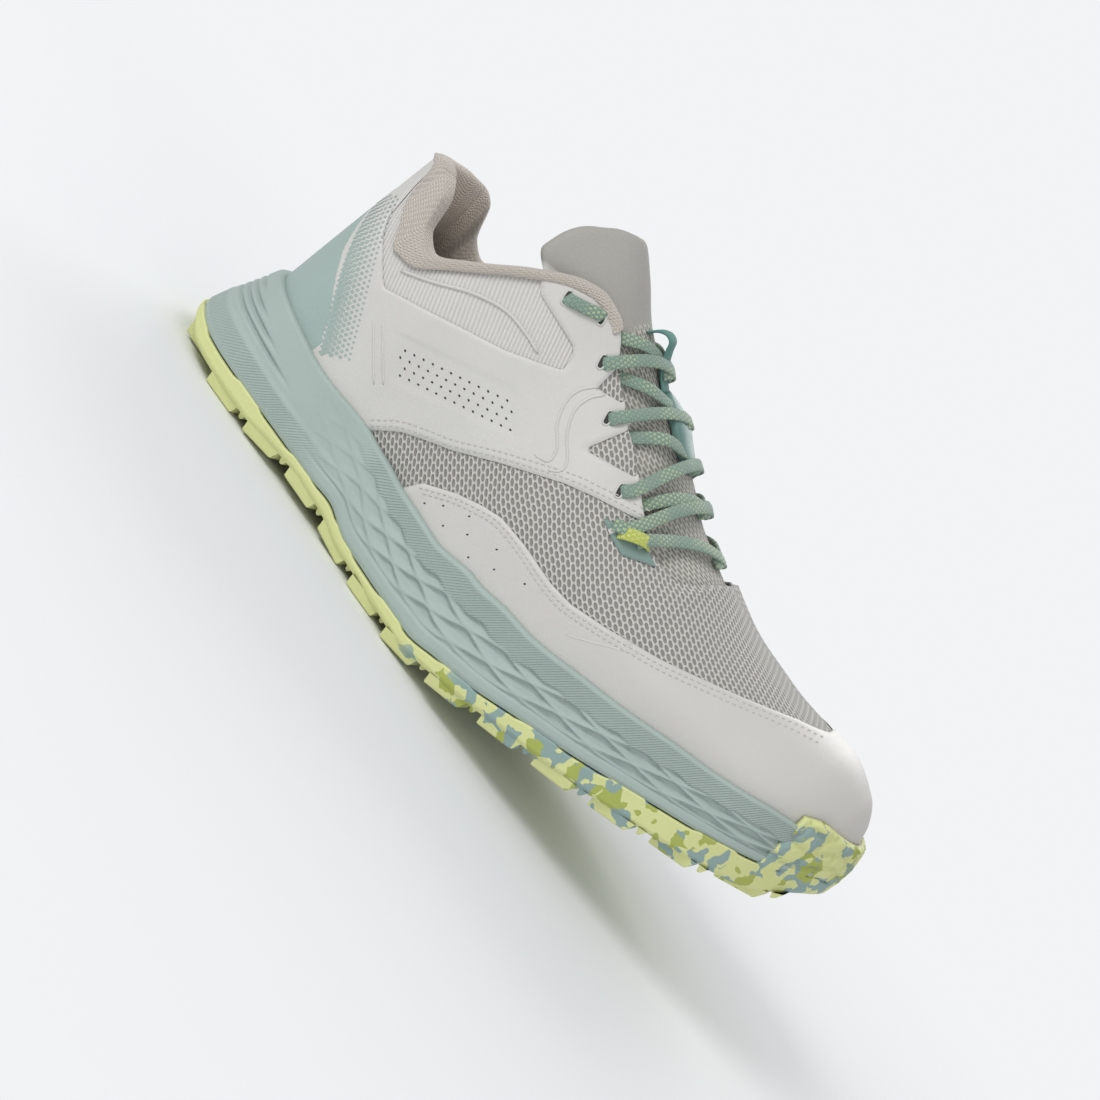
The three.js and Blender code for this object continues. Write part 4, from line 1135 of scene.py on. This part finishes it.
def lace_start(start, hold, level, side, lowest):
    """First places of an arm of lace: under a petal, at an eyelet or at the webbing loop."""
    if hold is None:
        way = side * way_of(start)
        edge = edge_rise(np.array([float(way)]))
        foot = rise_by(side * way_of(start - 0.004), edge, -3.0)[0]
        lip = rise_by(way, edge, 1.0)[0]
        return [(start - 0.006, side, foot, -2.7), (start, side, lip, -2.4)]
    number = 5 + level if hold == "loop" else hold
    share = float(share_of(HOLDS[side][0][number]))
    rise = float(HOLDS[side][1][number])
    steps = [(0.001, -0.004, -1.2), (0.004, 0.012, 1.5), (0.010, 0.06, 1.8)]
    if hold == "loop":
        steps = [(-0.012, -0.03, 1.6), (0, 0, 2.3), (0.006, 0.06, 1.9)]
    if lowest:
        steps = [(0.004, -0.02, 1.5), (0.010, 0.03, 2.2)]
    return [(share + ahead, side, rise + up, out) for ahead, up, out in steps]


def make_laces():
    for number, (cross, arms) in enumerate(CROSSINGS, 1):
        parts = []
        for level, (start, hold) in enumerate(arms):
            for side in (1, -1):
                lift = 1.6 * level + (0.5 if side > 0 else 0.0)
                places = lace_start(start, hold, level, side, number == len(CROSSINGS))
                share, _, rise, _ = places[-1]
                for t in (0.35, 0.62, 0.85, 1.0):
                    places.append((mix(share, cross, t), side, mix(rise, 1.0, t), mix(-1.0, -2.0 + lift, t)))
                for ahead, up, out in ((0.002, -3.5, -2.2 + lift), (0.001, -7.0, -2.9 + 0.6 * lift)):
                    beyond = rise_by(-side * way_of(cross), np.ones(1), up)[0]
                    places.append((cross + ahead, -side, beyond, out))
                parts.append(lace_run(places))
        p, f, uv = joined(parts)
        build("lace_over_%d" % number, p, f, LACE_MAT, uv, replaces=("lace_crossing_%d" % number,),
              slot="lace_cord")
    for side, name in ((1, "outer"), (-1, "inner")):
        way, rise = locate([EYELETS[0], (90, 117.6), EYELETS[1]], side)
        s = share_of(way)
        places = [(s[0] - 0.002, side, rise[0], -1.2), (s[0] + 0.002, side, rise[0] + 0.002, 1.5),
                  (s[1], side, rise[1], 1.9),
                  (s[2] - 0.002, side, rise[2] - 0.002, 1.5), (s[2] + 0.002, side, rise[2], -1.2)]
        p, f, uv = lace_run(places, width=4.4)
        build("lace_short_" + name, p, f, LACE_MAT, uv, replaces=("lace_bar_" + name,), slot="lace_cord")


def make_eyelets():
    parts, rims = [], []
    for side in (1, -1):
        way, rise = locate(EYELETS, side)
        centres, normals = on_skin(way, rise, 1.1)
        way, rise = locate([(x + 0.8, z + 0.3) for x, z in EYELETS], side)
        aheads, _ = on_skin(way, rise, 1.1)
        for p, n, q in zip(centres, normals, aheads):
            t = q - p
            t -= (t * n).sum() * n
            t /= np.linalg.norm(t)
            s = np.cross(n, t)
            angle = np.linspace(0, 2 * np.pi, 16, endpoint=False)
            ca, sa = np.cos(angle), np.sin(angle)
            lengthwise = (np.sign(ca) * np.abs(ca)**0.6)[:, None] * s * 2.7
            crosswise = (np.sign(sa) * np.abs(sa)**0.7)[:, None] * t * 1.25
            ring = p + lengthwise + crosswise
            # Each eyelet's hole is a near-black disc of painted shade inside its film rim.
            parts.append((ring, [list(range(16))], None))
            loop = np.concatenate([ring, ring[:2]]) + n * 0.05
            rims.append(ribbon(loop, np.tile(n, (len(loop), 1)), 0.7, 0.45, sides=6, flatness=0.8))
    p, f, uv = joined(parts)
    build("eyelet_hole_shade", p, f, HOLE_SHADE_MAT, uv)
    p, f, uv = joined(rims)
    build("eyelet_rims", p, f, FILM_MAT, uv)


def make_throat_pieces():
    """Webbing loops, the tape on the tongue and the keeper."""
    for side, name in ((1, "outer"), (-1, "inner")):
        way, rise = locate([(158.6, 84.2), (160.6, 85.3), (163.6, 87.0), (166.3, 88.3), (167.8, 89.0)], side)
        p, n = on_skin(way, rise, np.array([0.9, 2.6, 3.2, 2.6, 0.9]))
        path, normals = smooth_path(p, 6), smooth_path(n, 6)
        q, f, uv = ribbon(path, normals, 4.6, 0.9, flatness=0.25)
        build("webbing_loop_" + name, q, f, LOOP_MAT, uv, replaces=("lace_loop_" + name,),
              slot="loop_webbing")
        way, rise = locate([(156.6, 81.6), (157.2, 84.0), (157.8, 86.4)], side)
        p, n = on_skin(way, rise, 1.0)
        q, f, uv = ribbon(smooth_path(p, 4), smooth_path(n, 4), 1.9, 0.5)
        build("bar_tack_" + name, q, f, THREAD_MAT, uv)
    shares = np.array([0.3625, 0.364, 0.369, 0.377, 0.386, 0.405, 0.425])
    outs = np.array([-4.2, -0.6, 2.2, 2.8, 0.6, -2.4, -3.4])
    p, n = on_skin(way_of(shares), rise_by(way_of(shares), np.ones(7), -3.2), outs)
    q, f, uv = ribbon(smooth_path(p, 6), smooth_path(n, 6), 8.5, 1.0, flatness=0.25)
    build("tongue_tape", q, f, TAB_MAT, uv, replaces=("tongue_loop",), slot="tongue_tape")
    rings, columns = 14, 48
    grid = []
    for ring in np.linspace(0, 1, rings):
        angle = np.linspace(0, 2 * np.pi, columns, endpoint=False)
        aside = 9.5 * ring * np.sin(angle)
        share = 0.468 + (12.5 * ring * np.cos(angle) + 0.03 * aside**2) / LENGTH
        aside = aside - 4
        way = np.where(aside > 0, -1, 1) * way_of(share)
        rise = rise_by(way, np.ones(columns), -np.abs(aside))
        dome = 1.4 * (1 - ring**4) ** 0.5
        grid.append(skin(way, rise, np.full(columns, -1.7) + dome))
    low = []
    for k in range(columns):
        low.append(grid[-1][k] - outward(np.array([way[k]]), np.array([rise[k]]))[0] * 1.6)
    grid.append(np.array(low))
    grid = np.array(grid)
    uv = np.stack(np.meshgrid(np.arange(columns), np.arange(rings + 1)), -1)
    build("keeper_body", grid.reshape(-1, 3), quads(rings + 1, columns, closed_columns=True), KEEPER_MAT,
          uv.reshape(-1, 2),
          replaces=("lace_keeper",), slot="keeper_plastic")


LOOP_MAT = woven_material("loop_webbing", "c4cf63", "d9e08a", 0.7)
TAB_MAT = smooth_cloth("tongue_tape", "5c8a82", "47746c", 0.8)
KEEPER_MAT = plain("keeper_plastic", "5f7f78", 0.45)


def leaf_relief(u, part):
    """Two staggered families of shallow leaf-shaped dents."""
    pitch = np.interp(u, [60, 150, 290], [15.0, 20.0, 27.0])
    phase = np.interp(u, [0, 60, 150, 290], [0, 3.0, 3.0 + 90 / 20.0, 3.0 + 90 / 20.0 + 140 / 27.0])
    s1 = phase + part * 3.9
    s2 = phase - part * 3.9
    a, b = s1 - np.floor(s1), s2 - np.floor(s2)
    dent = np.minimum(a * 2.2, 1) * np.minimum((1 - b) * 2.2, 1)
    dent = dent * np.minimum((1 - a) * 9, 1) * np.minimum(b * 9, 1)
    return dent * 1.7


def make_midsole():
    n, m = 721, 71
    ways = np.linspace(-1, 1, n)
    parts = np.linspace(0, 1, m)
    W, T = np.meshgrid(ways, parts, indexing="ij")
    share = share_of(W)
    sole = SOLE(share)
    u = np.abs(np.interp(W, GRID_W, ARC_ALONG))
    profile = np.interp(T, [0, 0.07, 0.34, 0.40, 0.52, 0.60, 0.76, 0.97, 1.0],
                        [0.8, 0.15, 0.35, 0.8, 1.1, 1.4, 1.9, 2.5, 3.4])
    inset = profile + np.maximum(0, sole["lean"] - 4) * T
    wave = np.zeros_like(T)
    for k, centre in enumerate((0.50, 0.60, 0.70, 0.80)):
        reach = 1 - ease(0.02 + 0.035 * (3 - k), 0.05 + 0.045 * (3 - k), share)
        wave += 1.5 * np.exp(-((T - centre) / 0.022)**2) * reach
    leaf = leaf_relief(u, T)
    comb_edge = np.interp(u, [0, 95, 130, 200, 300], [1.2, 0.72, 0.66, 0.60,
                                                      0.58]) + 0.05 * np.abs(((u / 11.0) % 1) - 0.5) * 2
    leaf_zone = ease(60, 105, u) * ease(0.20, 0.26, T) * (1 - ease(-0.03, 0.03, T - comb_edge))
    leaf_zone = leaf_zone * mix(0.35, 1.0, ease(90, 150, u))
    groove = 0.8 * np.exp(-((T - 0.20) / 0.018)**2) * ease(70, 95, u)
    inset = inset + wave + leaf * leaf_zone + groove
    comb = ease(-0.02, 0.02, T - comb_edge) * ease(85, 100, u) * (1 - ease(0.93, 0.96, T))
    comb = np.maximum(comb, 0.8 * (1 - ease(0.30, 0.36, T)) * ease(0.06, 0.1, T) * (1 - ease(60, 95, u)))
    x, y = outline_in(W, inset)
    s = share_at(x)
    z = mix(rubber_top(s) + 0.3, wall_top(s), T)
    points = np.stack([x, y, z], -1)
    uv = np.stack([u, z - ground(s)], -1)
    extra = []
    for inward, height in (("lean", 0.1), ("rim", 0.1), ("rim", -CUP)):
        more = sole["lean"][:, 0] + (0.9 if inward == "lean" else RIM)
        ex, ey = outline_in(ways, more)
        extra.append(np.stack([ex, ey, wall_top(share_at(ex)) + height - 0.1], -1))
    bottom_x, bottom_y = outline_in(ways, np.full(n, 6.0))
    bottom = np.stack([bottom_x, bottom_y, rubber_top(share_at(bottom_x)) + 0.3], -1)
    grid = np.concatenate([bottom[:, None], points] + [e[:, None] for e in extra], 1)
    uvs = np.concatenate([uv[:, :1], uv, uv[:, -1:], uv[:, -1:], uv[:, -1:]], 1)
    value = np.concatenate([comb[:, :1] * 0, comb] + [comb[:, -1:] * 0] * 3, 1)
    columns = grid.shape[1]
    faces = quads(n, columns).tolist()
    # The floor of the cup, closed across from side to side.
    half = (n - 1) // 2
    for k in range(half):
        faces.append([(half + k) * columns + columns - 1, (half + k + 1) * columns + columns - 1,
                      (half - k - 1) * columns + columns - 1, (half - k) * columns + columns - 1])
    build("midsole_foam", grid.reshape(-1, 3), faces, foam_material(), uvs.reshape(-1, 2),
          {"comb": value.ravel()},
          replaces=("midsole",), slot="midsole_foam")


def block(x0, x1, y0, y1, low, high, slant=0.0, draft=0.8, chamfer=0.5):
    """A lug with sloping sides and a chamfer, from the tread down to the ground line."""
    n = 3
    rows = []
    sy = 1 if y1 > y0 else -1
    for depth, into in ((0.0, 0.0), (1.0, draft), (1.0, draft + chamfer)):
        ring = []
        for cx, cy in ((x0, y0), (x1, y0), (x1, y1), (x0, y1)):
            shift = slant if cy == y1 else 0.0
            x = cx + shift + (into if cx == x0 else -into)
            y = cy + (into if cy == y0 else -into) * sy
            g = float(ground(share_at(x)))
            z = g + high if depth == 0 else g + low + (chamfer if into == draft else 0.0)
            ring.append((x, y, z))
        rows.append(ring)
    p = np.array(rows).reshape(-1, 3)
    faces = quads(n, 4, closed_columns=True).tolist() + [[8, 9, 10, 11]]
    if sy < 0:
        faces = [face[::-1] for face in faces]
    return p, faces, p[:, :2]


def make_outsole():
    n = 361
    ways = np.linspace(-1, 1, n)
    u = np.abs(np.interp(ways, GRID_W, ARC_ALONG))
    share = share_of(ways)
    # The upper edge of the rubber steps up and down along the side.
    tabs = 1.1 * (ease(0.35, 0.45, (u / 31.0) % 1) - ease(0.80, 0.90, (u / 31.0) % 1)) - 0.4
    rows = []
    for inward, low in ((3.0, LUG), (0.9, LUG + 0.4), (0.15, LUG + 1.4), (-0.15, LUG + 2.2)):
        x, y = outline_in(ways, np.full(n, inward))
        rows.append(np.stack([x, y, ground(share_at(x)) + low], -1))
    for inward, more in ((-0.2, -0.5), (0.1, 0.0), (1.6, 0.1)):
        x, y = outline_in(ways, np.full(n, inward))
        rows.append(np.stack([x, y, rubber_top(share_at(x)) + tabs * 0.8 + more], -1))
    grid = np.stack(rows, 1)
    columns = grid.shape[1]
    faces = quads(n, columns).tolist()
    half = (n - 1) // 2
    for k in range(half):
        faces.append([(half - k) * columns, (half - k - 1) * columns, (half + k + 1) * columns,
                      (half + k) * columns])
    parts = [(grid.reshape(-1, 3), faces, grid.reshape(-1, 3)[:, :2])]
    pitch = LUG_PITCH
    for k in range(13):
        at = 0.03 + k * pitch
        middle = at + 0.36 * pitch
        x0, x1 = float(along(at)), float(along(at + 0.72 * pitch))
        row = SOLE(middle)
        fill = min(float(outline(way_of(at))[2]), float(outline(way_of(at + 0.72 * pitch))[2]))
        centre = HALF_BALL * float(row["middle"])
        edge = HALF_BALL * float(row["half"]) * fill - 0.9
        deep = min(0.34 * edge, 14)
        for sign in (-1, 1):
            parts.append(block(x0, x1, centre + sign * edge, centre + sign * (edge - deep), 0, LUG + 0.8,
                               1.5))
            # A narrow rib between two lugs.
            parts.append(block(x1 + 1.2, x1 + 4.2, centre + sign * (edge - 1),
                               centre + sign * (edge - deep - 2), 1.4, LUG + 0.8, 1.0))
        in_arch = 0.17 < at < 0.33
        if k > 0 and not in_arch and k < 12:
            wing = edge - deep - 4.5
            for sign in (-1, 1):
                parts.append(block(x0 + 3, x1 + 3, centre + sign * wing, centre + sign * 1.2, 0, LUG + 0.8,
                                   5))
    for share in RESTS:
        x = float(along(share))
        parts.append(block(x - 7, x + 7, -7, 7, 0, LUG + 0.8, 0, 0.8, 0.01))
    p, f, uv = joined(parts)
    build("outsole_rubber", p, f, rubber_material("rubber", True), uv, replaces=("outsole",),
          slot="outsole_rubber", smooth=False)


def make_bumper():
    """The rubber that climbs the front of the toe, with low raised blocks."""
    start = 0.925
    n, m = 161, 25
    w0 = float(way_of(start))
    ways = wrap(np.linspace(w0, 2 - w0, n))
    parts = np.linspace(0, 1, m)
    W, T = np.meshgrid(ways, parts, indexing="ij")
    base = outline_in(W, np.zeros_like(W))
    share = share_at(base[0])
    rise = ease(start - 0.005, start + 0.03, share)
    top = mix(wall_top(share) + 3, BUMPER_TOP, rise)
    low = rubber_top(share) - 1.2
    z = mix(low, top, T)
    inset = np.interp(T, [0, 0.1, 0.5, 0.85, 0.97, 1.0], [0.4, 0.2, 0.9, 2.7, 3.4, 4.4])
    a = (np.abs(np.arange(n)[:, None] - n // 2) / 17.0 + T * 0.6) % 1
    b = (T * 3.1 + 0.35 * np.sin(np.arange(n)[:, None] / 9.0)) % 1
    blocks = ease(0.06, 0.12, a) * (1 - ease(0.88, 0.94, a)) * ease(0.08, 0.18, b) * (1 - ease(0.82, 0.92, b))
    inset = inset - 1.0 * blocks + 0.45
    x, y = outline_in(W, inset)
    outer = np.stack([x, y, z], -1)
    x, y = outline_in(W[:, ::-1], np.interp(T[:, ::-1], [0, 0.4, 0.6, 1.0], [2.6, 2.6, 4, 6.1]))
    inner = np.stack([x, y, z[:, ::-1]], -1)
    grid = np.concatenate([outer, inner], 1)
    faces = quads(n, 2 * m, closed_columns=True).tolist()
    faces.append(list(range(2 * m)))
    faces.append(list(range((n - 1) * 2 * m, n * 2 * m))[::-1])
    build("toe_bumper", grid.reshape(-1, 3), faces, rubber_material("rubber_toe", True),
          grid.reshape(-1, 3)[:, :2])


def make_insole():
    n = 181
    ways = np.linspace(-1, 1, n)
    share = share_of(ways)
    lean = SOLE(share)["lean"]
    rows = []
    for inward, up in ((0.6, 0.3), (0.1, 1.5), (0.1, 3.5), (0.6, 4.2), (1.6, 4.5)):
        x, y = outline_in(ways, lean + RIM + WALL + 0.9 + inward)
        rows.append(np.stack([x, y, wall_top(share_at(x)) - CUP + up], -1))
    grid = np.stack(rows, 1)
    faces = quads(n, 5).tolist()
    half = (n - 1) // 2
    for k in range(half):
        faces.append([(half + k) * 5 + 4, (half + k + 1) * 5 + 4, (half - k - 1) * 5 + 4, (half - k) * 5 + 4])
    p = grid.reshape(-1, 3)
    build("insole_cloth", p, faces, net_material("insole_cloth", "b9b7b1", "9b9992", 0, (1.6, 1.2)), p[:, :2],
          replaces=("insole",), slot="insole_fabric")


make_upper()
make_films()
make_print()
make_seams()
make_collar()
make_tongue()
make_laces()
make_eyelets()
make_throat_pieces()
make_midsole()
make_outsole()
make_bumper()
make_insole()


def place_camera():
    """The angle of the picture: from the outer side, a little above, rolled with the toe down."""
    azimuth, elevation, roll = math.radians(7.0), math.radians(11.5), math.radians(52.628)
    distance, lens = 0.85, 80.24
    target = Vector((0.113055, 0.0, 0.054741))
    out = Vector((math.sin(azimuth) * math.cos(elevation), -math.cos(azimuth) * math.cos(elevation),
                  math.sin(elevation)))
    level = Vector((math.cos(azimuth), math.sin(azimuth), 0))
    upright = out.cross(level)
    right = math.cos(roll) * level + math.sin(roll) * upright
    up = -math.sin(roll) * level + math.cos(roll) * upright
    camera = bpy.data.objects.new("camera", bpy.data.cameras.new("camera"))
    camera.data.lens = lens
    camera.data.sensor_width = 36
    camera.data.clip_end = 50
    place = target + out * distance
    camera.matrix_world = Matrix(((right.x, up.x, out.x, place.x), (right.y, up.y, out.y, place.y),
                                  (right.z, up.z, out.z, place.z), (0, 0, 0, 1)))
    bpy.context.scene.collection.objects.link(camera)
    bpy.context.scene.camera = camera


def area_light(name, place, target, size, power, colour=(1, 1, 1)):
    data = bpy.data.lights.new(name, "AREA")
    data.shape = "DISK"
    data.size = size
    data.energy = power
    data.color = colour
    light = bpy.data.objects.new(name, data)
    light.location = place
    light.rotation_euler = (Vector(target) - Vector(place)).to_track_quat("-Z", "Y").to_euler()
    bpy.context.scene.collection.objects.link(light)


def make_stage():
    world = bpy.data.worlds.new("world")
    bpy.context.scene.world = world
    world.use_nodes = True
    tree = world.node_tree
    sky = tree.nodes["Background"]
    sky.inputs["Color"].default_value = linear("f2f3f5")
    sky.inputs["Strength"].default_value = 1.0
    glow = tree.nodes.new("ShaderNodeBackground")
    glow.inputs["Color"].default_value = linear("f2f3f5")
    glow.inputs["Strength"].default_value = 0.66
    seen = tree.nodes.new("ShaderNodeLightPath")
    chosen = tree.nodes.new("ShaderNodeMixShader")
    tree.links.new(seen.outputs["Is Camera Ray"], chosen.inputs[0])
    tree.links.new(glow.outputs[0], chosen.inputs[1])
    tree.links.new(sky.outputs[0], chosen.inputs[2])
    tree.links.new(chosen.outputs[0], tree.nodes["World Output"].inputs[0])
    mesh = bpy.data.meshes.new("floor")
    steps, rings = 96, 24
    points = [(0.11, 0, 0)]
    for r in range(1, rings + 1):
        for k in range(steps):
            a = 2 * math.pi * k / steps
            points.append((0.11 + 1.6 * r / rings * math.cos(a), 1.6 * r / rings * math.sin(a), 0))
    faces = [[0, 1 + k, 1 + (k + 1) % steps] for k in range(steps)]
    for r in range(rings - 1):
        for k in range(steps):
            a, b = 1 + r * steps + k, 1 + r * steps + (k + 1) % steps
            faces.append([a, a + steps, b + steps, b])
    mesh.from_pydata(points, [], faces)
    floor = bpy.data.objects.new("floor", mesh)
    floor.location = (0, 0, -0.0002)
    bpy.context.scene.collection.objects.link(floor)
    mat = bpy.data.materials.new("floor")
    mat.use_nodes = True
    nodes, links = mat.node_tree.nodes, mat.node_tree.links
    bsdf = nodes["Principled BSDF"]
    bsdf.inputs["Base Color"].default_value = (0.79, 0.80, 0.81, 1)
    bsdf.inputs["Roughness"].default_value = 0.9
    bsdf.inputs["Specular IOR Level"].default_value = 0.1
    where = nodes.new("ShaderNodeTexCoord")
    length = nodes.new("ShaderNodeVectorMath")
    length.operation = "DISTANCE"
    length.inputs[1].default_value = (0.11, 0, 0)
    links.new(where.outputs["Object"], length.inputs[0])
    fade = nodes.new("ShaderNodeMapRange")
    fade.interpolation_type = "SMOOTHSTEP"
    fade.inputs["From Min"].default_value = 0.12
    fade.inputs["From Max"].default_value = 0.55
    links.new(length.outputs["Value"], fade.inputs["Value"])
    clear = nodes.new("ShaderNodeBsdfTransparent")
    both = nodes.new("ShaderNodeMixShader")
    links.new(fade.outputs["Result"], both.inputs[0])
    links.new(bsdf.outputs[0], both.inputs[1])
    links.new(clear.outputs[0], both.inputs[2])
    links.new(both.outputs[0], nodes["Material Output"].inputs[0])
    mesh.materials.append(mat)
    area_light("key", (-0.75, -0.85, 1.0), (0.09, 0, 0.05), 0.7, 11.0)
    area_light("fill", (0.9, -1.0, 0.35), (0.15, 0, 0.05), 0.9, 2.8)
    area_light("back", (0.1, 1.1, 0.7), (0.1, 0, 0.06), 0.8, 6.0)


place_camera()
make_stage()
scene = bpy.context.scene
scene.view_settings.view_transform = "Standard"
scene.view_settings.look = "None"
scene.view_settings.exposure = 0.0
scene.view_settings.gamma = 1.0
